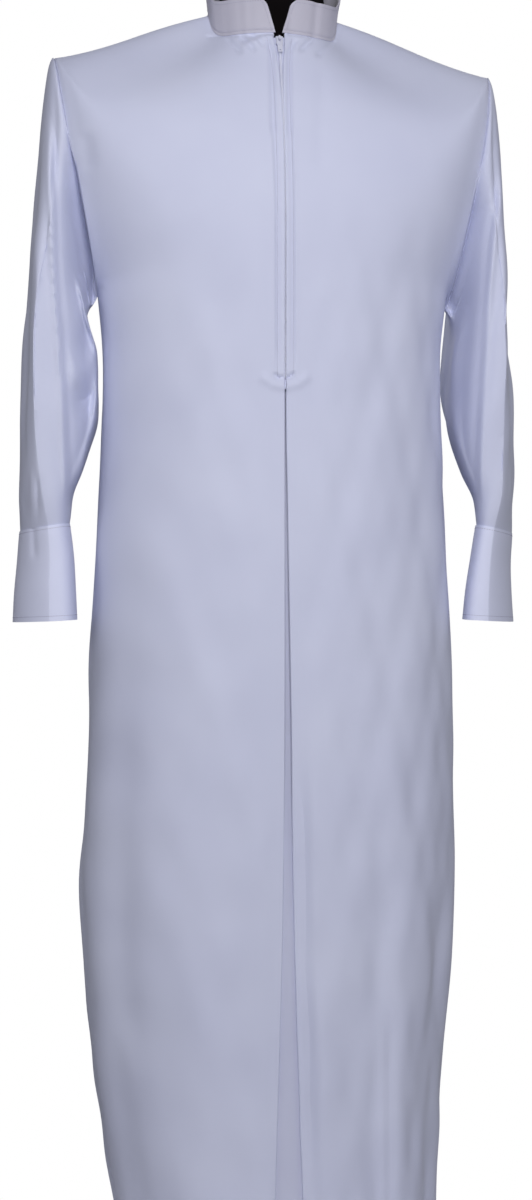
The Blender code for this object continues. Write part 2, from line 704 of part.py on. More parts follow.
def form_ring(ring):
    """Points all round the dress form at one row of its table."""
    angles = np.radians(np.arange(FORM_SIDES) * 360 / FORM_SIDES)
    across, forward = np.sin(angles), np.cos(angles)
    power = 2 / ring.roundness
    middle_y = np.where(forward > 0, ring.front_y, ring.back_y)
    middle_z = np.where(forward > 0, ring.front_z, ring.back_z)
    share = np.abs(np.arcsin(np.clip(np.abs(across), 0, 1))) / (math.pi / 2)
    x = np.sign(across) * ring.side * np.abs(across) ** power
    y = SHOULDER_Y + (middle_y - SHOULDER_Y) * np.abs(forward) ** power
    z = middle_z + (ring.side_z - middle_z) * ease(share**ring.rise)
    return np.stack([x, y, z], axis=1)


def add_form(parent):
    """The torso and neck of the dress form, as one smooth closed shape."""
    shape = bmesh.new()
    rings = [[shape.verts.new(point * MM) for point in lean(form_ring(ring))] for ring in FORM]
    for upper, lower in zip(rings, rings[1:]):
        for i in range(FORM_SIDES):
            j = (i + 1) % FORM_SIDES
            shape.faces.new([upper[i], upper[j], lower[j], lower[i]])
    for ring in (rings[0], rings[-1]):
        shape.faces.new(ring)
    bmesh.ops.recalc_face_normals(shape, faces=shape.faces)
    mesh = bpy.data.meshes.new("form_torso")
    shape.to_mesh(mesh)
    shape.free()
    add_object("form_torso", mesh, "form_jersey", parent)


def add_turned(name, profile, finish, parent):
    """A turned solid. The profile runs down its outer side and starts and ends on the axis."""
    mesh = bpy.data.meshes.new(name)
    points = [(radius * MM, 0, height * MM) for radius, height in profile]
    mesh.from_pydata(points, [(i, i + 1) for i in range(len(points) - 1)], [])
    thing = add_object(name, mesh, finish, parent)
    screw = thing.modifiers.new("turn", "SCREW")
    screw.steps = screw.render_steps = TURNED_SIDES
    screw.use_merge_vertices = True
    screw.merge_threshold = 0.00001
    screw.use_smooth_shade = True
    return thing


def add_stand(parent):
    """The round base with its hub, and the pole up into the form."""
    base = [
        (0, HUB_TOP),
        (HUB_RADIUS - 8, HUB_TOP),
        (HUB_RADIUS - 4, HUB_TOP - 4),
        (HUB_RADIUS, BASE_THICK + 5),
        (HUB_RADIUS + 8, BASE_THICK + 1),
        (BASE_RADIUS - BASE_CHAMFER, BASE_THICK),
        (BASE_RADIUS, BASE_THICK - BASE_CHAMFER),
        (BASE_RADIUS, 0),
        (0, 0),
    ]
    add_turned("stand_base", base, "stand_steel", parent)
    foot, head = HUB_TOP + SEAM_GAP, FORM[-1].front_z - SEAM_GAP
    pole = [(0, head), (POLE_RADIUS, head), (POLE_RADIUS, foot), (0, foot)]
    add_turned("stand_pole", pole, "stand_steel", parent)


def add_box(name, low, high, collection="alb"):
    """A box between two corners in millimetres, its mesh in the space of its own origin."""
    size = [h - l for l, h in zip(low, high)]
    middle = [(h + l) / 2 for l, h in zip(low, high)]
    bpy.ops.mesh.primitive_cube_add(size=1)
    box = bpy.context.object
    box.name = box.data.name = name
    box.data.transform(scaled_and_moved(size, middle))
    for owner in list(box.users_collection):
        owner.objects.unlink(box)
    bpy.data.collections[collection].objects.link(box)
    return box


def scaled_and_moved(size, middle):
    scale = Matrix.Diagonal((*[s * MM for s in size], 1))
    return Matrix.Translation(Vector(middle) * MM) @ scale


def add_rod(name, radius, half_length, middle, way, collection="alb", sides=16):
    """A round rod across X or through Y, about a middle point in millimetres."""
    turn = (0, math.pi / 2, 0) if way == "X" else (math.pi / 2, 0, 0)
    bpy.ops.mesh.primitive_cylinder_add(
        radius=radius * MM,
        depth=2 * half_length * MM,
        vertices=sides,
        location=[m * MM for m in middle],
        rotation=turn,
    )
    rod = bpy.context.object
    rod.name = rod.data.name = name
    rod.data.transform(rod.matrix_basis)
    rod.matrix_basis.identity()
    for owner in list(rod.users_collection):
        owner.objects.unlink(rod)
    bpy.data.collections[collection].objects.link(rod)
    return rod


def combine(thing, other, how):
    """Adds a Boolean to a piece and puts the other shape away as a cutter."""
    cut = thing.modifiers.new(how.lower(), "BOOLEAN")
    cut.operation = how
    cut.object = other
    other.hide_render = True
    other.display_type = "WIRE"
    bpy.data.collections["alb"].objects.unlink(other)
    bpy.data.collections["cutters"].objects.link(other)


def finish_metal(thing, bevel):
    edge = thing.modifiers.new("rounded", "BEVEL")
    edge.width = bevel * MM
    edge.segments = 2
    edge.limit_method = "ANGLE"
    thing.data.materials.append(material("zip_enamel"))


def zip_place():
    """The pull's axis on the front, and the slope of the cloth there, in degrees from upright."""
    rows = np.arange(0, 3, 0.02)
    heights = np.array([ring_value("front_z", row) for row in rows])
    depths = np.array([ring_value("front_y", row) for row in rows])
    y = float(np.interp(SLIDER_Z, heights[::-1], depths[::-1]))
    below = float(np.interp(SLIDER_Z - PULL_LENGTH, heights[::-1], depths[::-1]))
    slope = math.degrees(math.atan2(y - below, PULL_LENGTH))
    return y, slope


def add_zip_slider_and_pull(parent):
    """The slider at the top of the zip, and the pull that swings on its bail.

    Both are drawn upright about the pull's axis and laid on the cloth's slope by their empty.
    """
    y, slope = zip_place()
    out = SLIDER_THICK - SLIDER_BEHIND + TUNNEL_OUT
    tilt = math.radians(slope)
    axis = bpy.data.objects.new("zip_pull_axis", None)
    bpy.data.collections["alb"].objects.link(axis)
    axis.location = (0, (y - out * math.cos(tilt)) * MM, (SLIDER_Z + out * math.sin(tilt)) * MM)
    axis.rotation_euler = (-tilt, 0, 0)
    axis.parent = parent

    face = TUNNEL_OUT
    half = SLIDER_WIDTH / 2
    slider = add_box(
        "zip_slider",
        (-half, face, -SLIDER_HEIGHT / 2 - 1),
        (half, face + SLIDER_THICK, SLIDER_HEIGHT / 2 - 1),
    )
    bail = add_box(
        "bail",
        (-BAIL_WIDTH / 2, face - BAIL_OUT, -BAIL_BELOW),
        (BAIL_WIDTH / 2, face + 0.6, BAIL_ABOVE),
    )
    tunnel = add_box(
        "tunnel",
        (-BAIL_WIDTH, face - BAIL_OUT + BAIL_BAR, -TUNNEL_HALF),
        (BAIL_WIDTH, face, TUNNEL_HALF),
    )
    half = PULL_WIDTH / 2
    pull = add_box("zip_pull", (-half, -PULL_THICK / 2, -PULL_LENGTH), (half, PULL_THICK / 2, 0))
    for corner in pull.data.vertices:
        if corner.co.z < -PULL_LENGTH / 2 * MM:
            corner.co.x *= PULL_TIP_WIDTH / PULL_WIDTH
    bar = add_rod("pull_bar", PULL_BAR_RADIUS, half, (0, 0, 0), "X")
    window = add_box(
        "pull_window",
        (-PULL_WINDOW_HALF, -PULL_THICK, -PULL_WINDOW),
        (PULL_WINDOW_HALF, PULL_THICK, -PULL_BAR_RADIUS - 0.1),
    )
    hole = add_rod("pull_hole", PULL_HOLE_RADIUS, PULL_THICK, (0, 0, PULL_HOLE_RISE - PULL_LENGTH), "Y")
    for thing in (slider, bail, tunnel, pull, bar, window, hole):
        thing.parent = axis
    combine(bail, tunnel, "DIFFERENCE")
    finish_metal(slider, 0.7)
    combine(slider, bail, "UNION")
    combine(pull, bar, "UNION")
    combine(pull, window, "DIFFERENCE")
    combine(pull, hole, "DIFFERENCE")
    finish_metal(pull, 0.25)


def clear_scene():
    for thing in list(bpy.data.objects):
        bpy.data.objects.remove(thing)
    for name in ("alb", "cutters"):
        made = bpy.data.collections.new(name)
        bpy.context.scene.collection.children.link(made)


def main():
    clear_scene()
    frame = bpy.data.objects.new("alb_frame", None)
    bpy.data.collections["alb"].objects.link(frame)
    rows = np.arange(len(RINGS), dtype=float)
    quarters = {
        (side, front): Quarter(side, front, rows) for side in (RIGHT, LEFT) for front in (True, False)
    }
    add_fronts(quarters, rows, frame)
    add_back(quarters, rows, frame)
    underlay_rows = [UNDERLAY_TOP_Z] + [row.z for row in SKIRT if row.z < UNDERLAY_TOP_Z]
    add_strip(
        "pleat_underlay", underlay_rows, UNDERLAY_HALF_WIDTH, UNDERLAY_DEPTH, CLOTH, "alb_cloth",
        frame,
    )
    zip_rows = np.linspace(ZIP_TOP_Z, ZIP_END_Z, ZIP_STEPS + 1)
    add_strip(
        "zip_tape", zip_rows, TAPE_HALF_WIDTH, TAPE_DEPTH, TAPE_THICK, "zip_tape", frame, columns=1
    )
    add_strip(
        "zip_chain", zip_rows[1:], CHAIN_HALF_WIDTH, CHAIN_DEPTH, CHAIN_THICK, "zip_tape", frame,
        columns=1,
    )
    add_sleeves(frame)
    add_collar(frame)
    add_zip_slider_and_pull(frame)
    add_form(frame)
    add_stand(frame)


main()
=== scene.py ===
# %% [markdown]
# # A white alb on its dress form
# An alb is a long white robe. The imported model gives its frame: plain walls of cloth in the right
# place. This lesson lays finer cloth over it: the same tables read at closer steps, with the folds
# that the photograph shows, topstitching and a zip made with Geometry Nodes, and procedural
# materials. Sculpting by hand would be quicker to start, but could not be measured or changed.
#
# Tables are in millimetres and degrees. X is to the viewer's right, the front faces -Y, and Z is
# up. "Right" and "left" are the wearer's, so the right sleeve hangs at -X.

# %% Setup
import math
from collections import namedtuple

import bmesh
import bpy
import numpy as np
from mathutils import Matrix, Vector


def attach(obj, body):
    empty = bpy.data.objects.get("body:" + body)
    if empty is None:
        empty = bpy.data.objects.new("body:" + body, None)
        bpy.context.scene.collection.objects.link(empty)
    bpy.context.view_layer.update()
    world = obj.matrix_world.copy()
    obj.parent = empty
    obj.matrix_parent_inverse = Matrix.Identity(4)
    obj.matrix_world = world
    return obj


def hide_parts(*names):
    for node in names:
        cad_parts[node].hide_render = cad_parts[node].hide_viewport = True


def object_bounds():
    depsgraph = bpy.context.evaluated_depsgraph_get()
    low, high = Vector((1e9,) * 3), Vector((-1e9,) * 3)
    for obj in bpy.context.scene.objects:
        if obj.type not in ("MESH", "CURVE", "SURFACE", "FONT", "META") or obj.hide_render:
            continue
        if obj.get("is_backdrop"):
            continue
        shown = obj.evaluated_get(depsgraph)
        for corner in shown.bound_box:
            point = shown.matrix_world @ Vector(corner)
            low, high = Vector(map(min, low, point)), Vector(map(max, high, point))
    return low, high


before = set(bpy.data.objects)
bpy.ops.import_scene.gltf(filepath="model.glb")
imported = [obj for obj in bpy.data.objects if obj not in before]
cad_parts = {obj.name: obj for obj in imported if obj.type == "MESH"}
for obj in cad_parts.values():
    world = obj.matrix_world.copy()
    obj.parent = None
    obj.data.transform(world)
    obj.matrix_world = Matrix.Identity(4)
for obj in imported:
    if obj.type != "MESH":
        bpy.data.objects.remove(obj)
cad_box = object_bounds()
BODY = "garment_and_stand"
MM = 0.001
RIGHT, LEFT = -1, 1
SIDE_NAMES = {RIGHT: "right", LEFT: "left"}
print("nodes:", sorted(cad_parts))

# %% [markdown]
# ## Camera
# The photograph is 532 by 1200 pixels. A camera could be turned by eye until the picture fits, but
# here it is worked out from sizes, so that folds can be placed on the pixels where they are seen.
# One pixel is 1.10 mm at the shoulder seams, which lie over column 272. The camera looks level
# from 2.2 m away, 6 degrees to the wearer's right. `photo_pixels` gives a point's pixel.

# %% Camera
PIXEL, AXIS_COLUMN, EYE_ROW, EYE_Z, DISTANCE, AZIMUTH = 1.10, 272, 600, 850, 2200, -6
PHOTO_WIDTH, PHOTO_HEIGHT, SENSOR = 532, 1200, 36.0
turn = math.radians(AZIMUTH)
TOWARD = np.array([math.sin(turn), -math.cos(turn), 0.0])
ACROSS = np.array([math.cos(turn), math.sin(turn), 0.0])


def photo_pixels(points):
    """The photograph's column and row for points in millimetres."""
    nearer = points @ TOWARD
    scale = PIXEL * (1 - nearer / DISTANCE)
    column = AXIS_COLUMN + (points @ ACROSS) / scale
    return column, EYE_ROW - (points[..., 2] - EYE_Z) / scale


camera = bpy.data.objects.new("camera", bpy.data.cameras.new("camera"))
bpy.context.scene.collection.objects.link(camera)
bpy.context.scene.camera = camera
camera.data.sensor_width = SENSOR
camera.data.lens = SENSOR * DISTANCE / (PIXEL * PHOTO_HEIGHT)
aside = (PHOTO_WIDTH / 2 - AXIS_COLUMN) * PIXEL
camera.location = (TOWARD * DISTANCE + ACROSS * aside + [0, 0, EYE_Z]) * MM
camera.rotation_euler = (math.pi / 2, 0, turn)
print("lens", round(camera.data.lens, 1), "mm, camera at", [round(v, 3) for v in camera.location])

# %% [markdown]
# ## Lamps
# The cloth is bright in front and its sides fall away into shade. An even white world would light
# it all alike, and a small lamp would cut hard shadows. So one large soft lamp stands above the
# camera, with two weak fills at the sides and one lamp behind.

# %% Lamps
Lamp = namedtuple("Lamp", "name place aim size power colour")
LAMPS = [
    Lamp("key", (-0.1, -2.45, 1.85), (0, 0, 1.15), 1.0, 40, (0.985, 0.98, 0.985)),
    Lamp("fill_left", (-2.2, -1.5, 1.4), (0, 0, 0.9), 1.2, 8, (0.97, 0.965, 1.0)),
    Lamp("fill_right", (2.3, -1.5, 1.4), (0, 0, 0.9), 1.2, 8, (0.97, 0.965, 1.0)),
    Lamp("back", (0.3, 2.4, 2.2), (0, 0, 1.0), 1.6, 26, (1.0, 1.0, 1.0)),
]


def add_lamp(lamp):
    light = bpy.data.lights.new(lamp.name, "AREA")
    light.size, light.energy, light.color = lamp.size, lamp.power, lamp.colour
    thing = bpy.data.objects.new(lamp.name, light)
    bpy.context.scene.collection.objects.link(thing)
    thing.location = lamp.place
    way = np.array(lamp.aim) - np.array(lamp.place)
    across = math.atan2(way[0], -way[1])
    down = math.atan2(math.hypot(way[0], way[1]), -way[2])
    thing.rotation_euler = (down, 0, math.pi + across)


for lamp in LAMPS:
    add_lamp(lamp)
print("lamps:", [lamp.name for lamp in LAMPS])

# %% [markdown]
# ## Colours and nodes
# Colours are written as hex values, as a picture program shows them. Blender works with linear
# light, so one function turns them. A helper for every kind of node would be long to read. This
# one adds any node, and sets or links its inputs.


# %% Colours and nodes
def linear(hex_colour):
    """An sRGB hex colour as linear red, green, blue and alpha."""
    parts = [int(hex_colour[i : i + 2], 16) / 255 for i in (1, 3, 5)]
    return (*[c / 12.92 if c <= 0.04045 else ((c + 0.055) / 1.055) ** 2.4 for c in parts], 1)


def add_node(tree, kind, inputs=None, **settings):
    """A node with its settings, and its inputs set to a value or linked from a socket."""
    node = tree.nodes.new(kind)
    for name, value in settings.items():
        setattr(node, name, value)
    for name, value in (inputs or {}).items():
        if isinstance(value, bpy.types.NodeSocket):
            tree.links.new(value, node.inputs[name])
        else:
            node.inputs[name].default_value = value
    return node


print("mid grey is", [round(value, 3) for value in linear("#808080")])

# %% [markdown]
# ## White surround
# The photograph's background is pure white. A white world would do that, but it would also fill
# every shadow. So rays from the camera see white, and all other rays see a dim, slightly blue one.

# %% White surround
DIM_STRENGTH = 0.14
world = bpy.data.worlds.new("studio")
bpy.context.scene.world = world
world.use_nodes = True
world.node_tree.nodes.clear()
seen = add_node(world.node_tree, "ShaderNodeLightPath")
bright = add_node(world.node_tree, "ShaderNodeBackground", {"Color": (1, 1, 1, 1), "Strength": 1.0})
dim = add_node(
    world.node_tree, "ShaderNodeBackground", {"Color": linear("#E4E6F2"), "Strength": DIM_STRENGTH}
)
both = add_node(
    world.node_tree, "ShaderNodeMixShader",
    {0: seen.outputs["Is Camera Ray"], 1: dim.outputs[0], 2: bright.outputs[0]},
)
add_node(world.node_tree, "ShaderNodeOutputWorld", {"Surface": both.outputs[0]})
bpy.context.scene.view_settings.view_transform = "Standard"
print("surround:", len(world.node_tree.nodes), "nodes")

# %% [markdown]
# ## Floor
# The stand needs something to rest on in the views from the side. An endless plane would hide the
# white surround, so a small pale disc is used.

# %% Floor
FLOOR_RADIUS, FLOOR_SIDES, FLOOR_DROP = 0.44, 96, 0.0005
floor_shape = bmesh.new()
bmesh.ops.create_circle(floor_shape, cap_ends=True, radius=FLOOR_RADIUS, segments=FLOOR_SIDES)
floor_mesh = bpy.data.meshes.new("floor")
floor_shape.to_mesh(floor_mesh)
floor_shape.free()
floor = bpy.data.objects.new("floor", floor_mesh)
floor.location.z = -FLOOR_DROP
bpy.context.scene.collection.objects.link(floor)
floor_paint = bpy.data.materials.new("studio_floor")
floor_paint.use_nodes = True
shader = floor_paint.node_tree.nodes["Principled BSDF"]
shader.inputs["Base Color"].default_value = linear("#F4F4F6")
shader.inputs["Roughness"].default_value = 0.8
floor_mesh.materials.append(floor_paint)
floor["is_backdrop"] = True
print("floor:", FLOOR_RADIUS * 2, "m across")

# %% [markdown]
# ## Sizes
# A pattern cutter starts from a few sizes: neck, shoulders, armhole, length. They could be measured
# from the frame's meshes, but named values say what each one is. These are the frame's own.

# %% Sizes
CLOTH, STIFFENED, SEAM_GAP = 1.2, 2.0, 0.3
UNDERARM_Z, HEM_Z, UNDERLAY_TOP_Z = 1180, 50, 1074
ZIP_TOP_Z, ZIP_END_Z = 1452, 1080
NECK_HALF_WIDTH, NECK_SIDE_Z = 70, 1489
SHOULDER_HALF_WIDTH, SHOULDER_Z, SHOULDER_Y, SHOULDER_BULGE, SHOULDER_DIP = 238, 1434, 3, 3, 6
LEAN, LEAN_FROM, LEAN_WHOLE = 0.018, 1000, 1400
UNDERARM_HALF_WIDTH, ARMHOLE_DEPTH, ARMHOLE_TURN = 191, 68, 28
ARMHOLE_STEEP, SLEEVE_HEAD_LOOPS = 0.75, 3
FACING_ACROSS, FACING_FORWARD = 0.75, 0.5
BACK_SWING = 0.4
SLEEVE_SKEW = {RIGHT: 0, LEFT: -16}
SKEW_FROM, SKEW_LOOPS = 8, 5
FOLD_RADIUS, ZIP_ALLOWANCE, PLEAT_RETURN = 1.6, 12, 34
UNDERLAY_HALF_WIDTH, UNDERLAY_DEPTH = 36, 4.1
DENSE = 301
print("shoulders", 2 * SHOULDER_HALF_WIDTH, "mm, zip", ZIP_TOP_Z - ZIP_END_Z, "mm")

# %% [markdown]
# ## Rings of the body
# The fronts and the back follow one surface from the neck to the hem, so it is described by rings
# round it, a row for each. Separate shapes for yoke, chest and skirt would show where they meet. A
# yoke ring's place is its share of the shoulder seam, and a chest ring's is an angle round the
# armhole.

# %% Rings of the body
Ring = namedtuple("Ring", "place front_y front_z back_y back_z roundness rise")
YOKE = [
    Ring(0.00, -68, 1455, 64, 1502, 2.1, 4.0),
    Ring(0.10, -76, 1440, 76, 1493, 2.1, 3.5),
    Ring(0.32, -88, 1415, 95, 1472, 2.2, 2.8),
    Ring(0.62, -100, 1388, 109, 1447, 2.3, 2.2),
    Ring(1.00, -111, 1360, 119, 1416, 2.4, 2.0),
]
CHEST = [
    Ring(24, -120, 1333, 124, 1384, 2.4, 1.9),
    Ring(48, -126, 1305, 127, 1348, 2.4, 1.8),
    Ring(73, -130, 1278, 128, 1312, 2.4, 1.8),
    Ring(98, -132, 1252, 128, 1277, 2.4, 1.8),
    Ring(124, -132.5, 1226, 127, 1241, 2.4, 1.8),
    Ring(151, -132.5, 1202, 126, 1208, 2.4, 1.8),
    Ring(180, -132, UNDERARM_Z, 125, UNDERARM_Z, 2.4, 1.8),
]
Level = namedtuple("Level", "z right left front_y back_y")
SKIRT = [
    Level(1125, 186, 184, -131, 124),
    Level(1050, 186, 184.5, -131, 124),
    Level(960, 190.5, 189, -132, 125),
    Level(870, 194.5, 193, -133, 126),
    Level(780, 201, 197, -134, 128),
    Level(700, 199.7, 199, -135, 130),
    Level(625, 203, 201, -136, 132),
    Level(545, 211.5, 201.5, -138, 134),
    Level(470, 207.5, 199, -139, 136),
    Level(395, 201, 191.5, -141, 138),
    Level(320, 192.5, 183.5, -143, 140),
    Level(250, 181, 181.5, -145, 142),
    Level(185, 166, 178.5, -146, 144),
    Level(115, 161, 177, -148, 146),
    Level(HEM_Z, 159, 176, -150, 148),
]
print(len(YOKE + CHEST), "rings above the underarm,", len(SKIRT), "below")

# %% [markdown]
# ## Gap between the fronts
# The two front edges part a little at the neck, nearly meet along the zip and open again down the
# pleat. Two straight edges could be turned apart at the hem, but cloth curves, so each side has its
# own half gap at each height.

# %% Gap between the fronts
Gap = namedtuple("Gap", "z right left")
FRONT_GAP = [
    Gap(HEM_Z, 17, 22),
    Gap(235, 11.5, 16.5),
    Gap(525, 3, 9),
    Gap(745, 0.7, 5.4),
    Gap(950, 0.6, 2.0),
    Gap(1050, 0.6, 0.6),
    Gap(1075, 0.6, 0.6),
    Gap(1200, 0.6, 0.6),
    Gap(1330, 0.6, 0.6),
    Gap(1380, 1.0, 1.0),
    Gap(1410, 2.0, 2.0),
    Gap(1430, 3.8, 3.8),
    Gap(1440, 4.8, 4.8),
    Gap(1455, 6.0, 6.0),
]
print("open", FRONT_GAP[0].right + FRONT_GAP[0].left, "mm at the hem")

# %% [markdown]
# ## Soft folds of the skirt
# Cloth with more girth than it needs hangs in long rolls that deepen towards the hem. A cloth
# simulation would make some, but not these. Each row is one fold: its place round the girth, its
# width there, and its depth in millimetres, outwards where it is positive. A place is 0 at the
# centre front, 2 at the centre back, and negative on the wearer's right.

# %% Soft folds of the skirt
Fold = namedtuple("Fold", "name girth width depth top_z full_z")
FOLDS = [
    Fold("pleat edge, left", 0.04, 0.055, -3.0, 1000, 300),
    Fold("roll beside the pleat", 0.17, 0.07, 3.0, 1000, 300),
    Fold("trough, left front", 0.36, 0.05, -3.5, 900, 250),
    Fold("ridge, left front", 0.46, 0.06, 4.0, 900, 250),
    Fold("trough, left side front", 0.70, 0.09, -7.0, 950, 350),
    Fold("pleat edge, right", -0.035, 0.04, -1.5, 900, 300),
    Fold("ridge, right front", -0.32, 0.12, 4.0, 950, 350),
    Fold("trough, right front", -0.64, 0.10, -7.0, 1000, 400),
    Fold("ridge, right side back", -1.22, 0.09, 12.0, 1050, 250),
    Fold("trough, right back", -1.40, 0.08, -14.0, 1100, 250),
    Fold("ridge, right back", -1.58, 0.08, 15.0, 1150, 300),
    Fold("trough, centre right back", -1.77, 0.08, -13.0, 1100, 300),
    Fold("ridge, centre back", 1.97, 0.09, 13.0, 1150, 250),
    Fold("trough, centre left back", 1.75, 0.09, -14.0, 1100, 300),
    Fold("ridge, left back", 1.55, 0.08, 14.0, 1150, 300),
    Fold("trough, left side back", 1.36, 0.08, -13.0, 1100, 250),
    Fold("ridge, left side", 1.19, 0.08, 10.0, 1000, 250),
]
print(len(FOLDS), "folds, the deepest", max(abs(fold.depth) for fold in FOLDS), "mm")

# %% [markdown]
# ## Loops of the sleeves and cuffs
# A sleeve is a tube, so loops round it take the place of the body's rings. A straight pipe would be
# simpler, but a real sleeve bows at the elbow and gathers at the cuff. The first loop lies on the
# armhole, and `swing` is how far the front ridge lies outwards of the sleeve's middle.

# %% Loops of the sleeves and cuffs
Loop = namedtuple(
    "Loop", "out_z in_z out_right in_right out_left in_left middle_y deep crease swing_right swing_left"
)
SLEEVE = [
    Loop(1434, 1180, 238, 191, 238, 191, 3, 68, 0.00, 0, 0),
    Loop(1434, 1176, 240.5, 193, 240, 193, 3, 71, 0.00, 0, 0),
    Loop(1423, 1171, 244.5, 196, 243.5, 196, 3, 74, 0.00, 0, 0),
    Loop(1397, 1165, 248.5, 200, 247.5, 200, 4, 76, 0.05, 5, 2),
    Loop(1361, 1155, 252.5, 202, 250.5, 202, 5, 78, 0.10, 10, 6),
    Loop(1320, 1141, 256, 198, 252, 202, 6, 80, 0.15, 17, 10),
    Loop(1274, 1123, 261, 191.5, 253.5, 200, 8, 82, 0.20, 24, 14),
    Loop(1226, 1104, 264.5, 190, 254, 198, 9, 84, 0.25, 29, 18),
    Loop(1180, 1084, 267, 190, 255, 197, 10, 86, 0.30, 31, 17),
    Loop(1136, 1062, 270, 190, 260, 197, 10, 87, 0.35, 30, 17),
    Loop(1094, 1040, 273, 192, 267, 199, 9, 87, 0.40, 27, 15),
    Loop(1052, 1016, 275, 199, 270.5, 204, 8, 85, 0.45, 21, 15),
    Loop(1012, 990, 276, 208, 271, 213, 6, 82, 0.50, 13, 14),
    Loop(972, 962, 276, 218, 271, 226, 4, 78, 0.55, 4, 8),
    Loop(924, 932, 275, 221, 269.5, 229, 3, 72, 0.60, -4, 0),
]
CUFF = [
    Loop(923.5, 931.5, 276, 220.5, 270, 227.5, 3, 73, 0.60, -4, 0),
    Loop(890, 897, 278.5, 216.5, 268, 222, 3, 73, 0.65, -5, 0),
    Loop(857, 862, 281.5, 214.5, 269, 216.5, 3, 74, 0.70, -5, 0),
    Loop(826, 829, 283, 213, 271, 213, 3, 75, 0.75, -5, 0),
]
SleeveFold = namedtuple(
    "SleeveFold", "name top_angle middle_angle low_angle width depth from_loop to_loop"
)
SLEEVE_FOLDS = [
    SleeveFold("front trough", 41, 106, 124, 12, -7.0, 1, 13),
    SleeveFold("outer trough", 30, 34, 38, 12, -3.0, 4, 13),
    SleeveFold("back trough", 285, 274, 262, 15, -6.0, 2, 12),
    SleeveFold("back ridge", 250, 238, 225, 16, 4.0, 3, 11),
]
COLLAR_HEIGHT, COLLAR_FLARE, COLLAR_STEP, COLLAR_GAP = 36, 5, 0.8, 0.4
COLLAR_EDGE, COLLAR_SLANT, COLLAR_CORNER = 3.7, 10.5, 9
print(len(SLEEVE), "sleeve loops,", len(CUFF), "cuff loops,", len(SLEEVE_FOLDS), "sleeve folds")
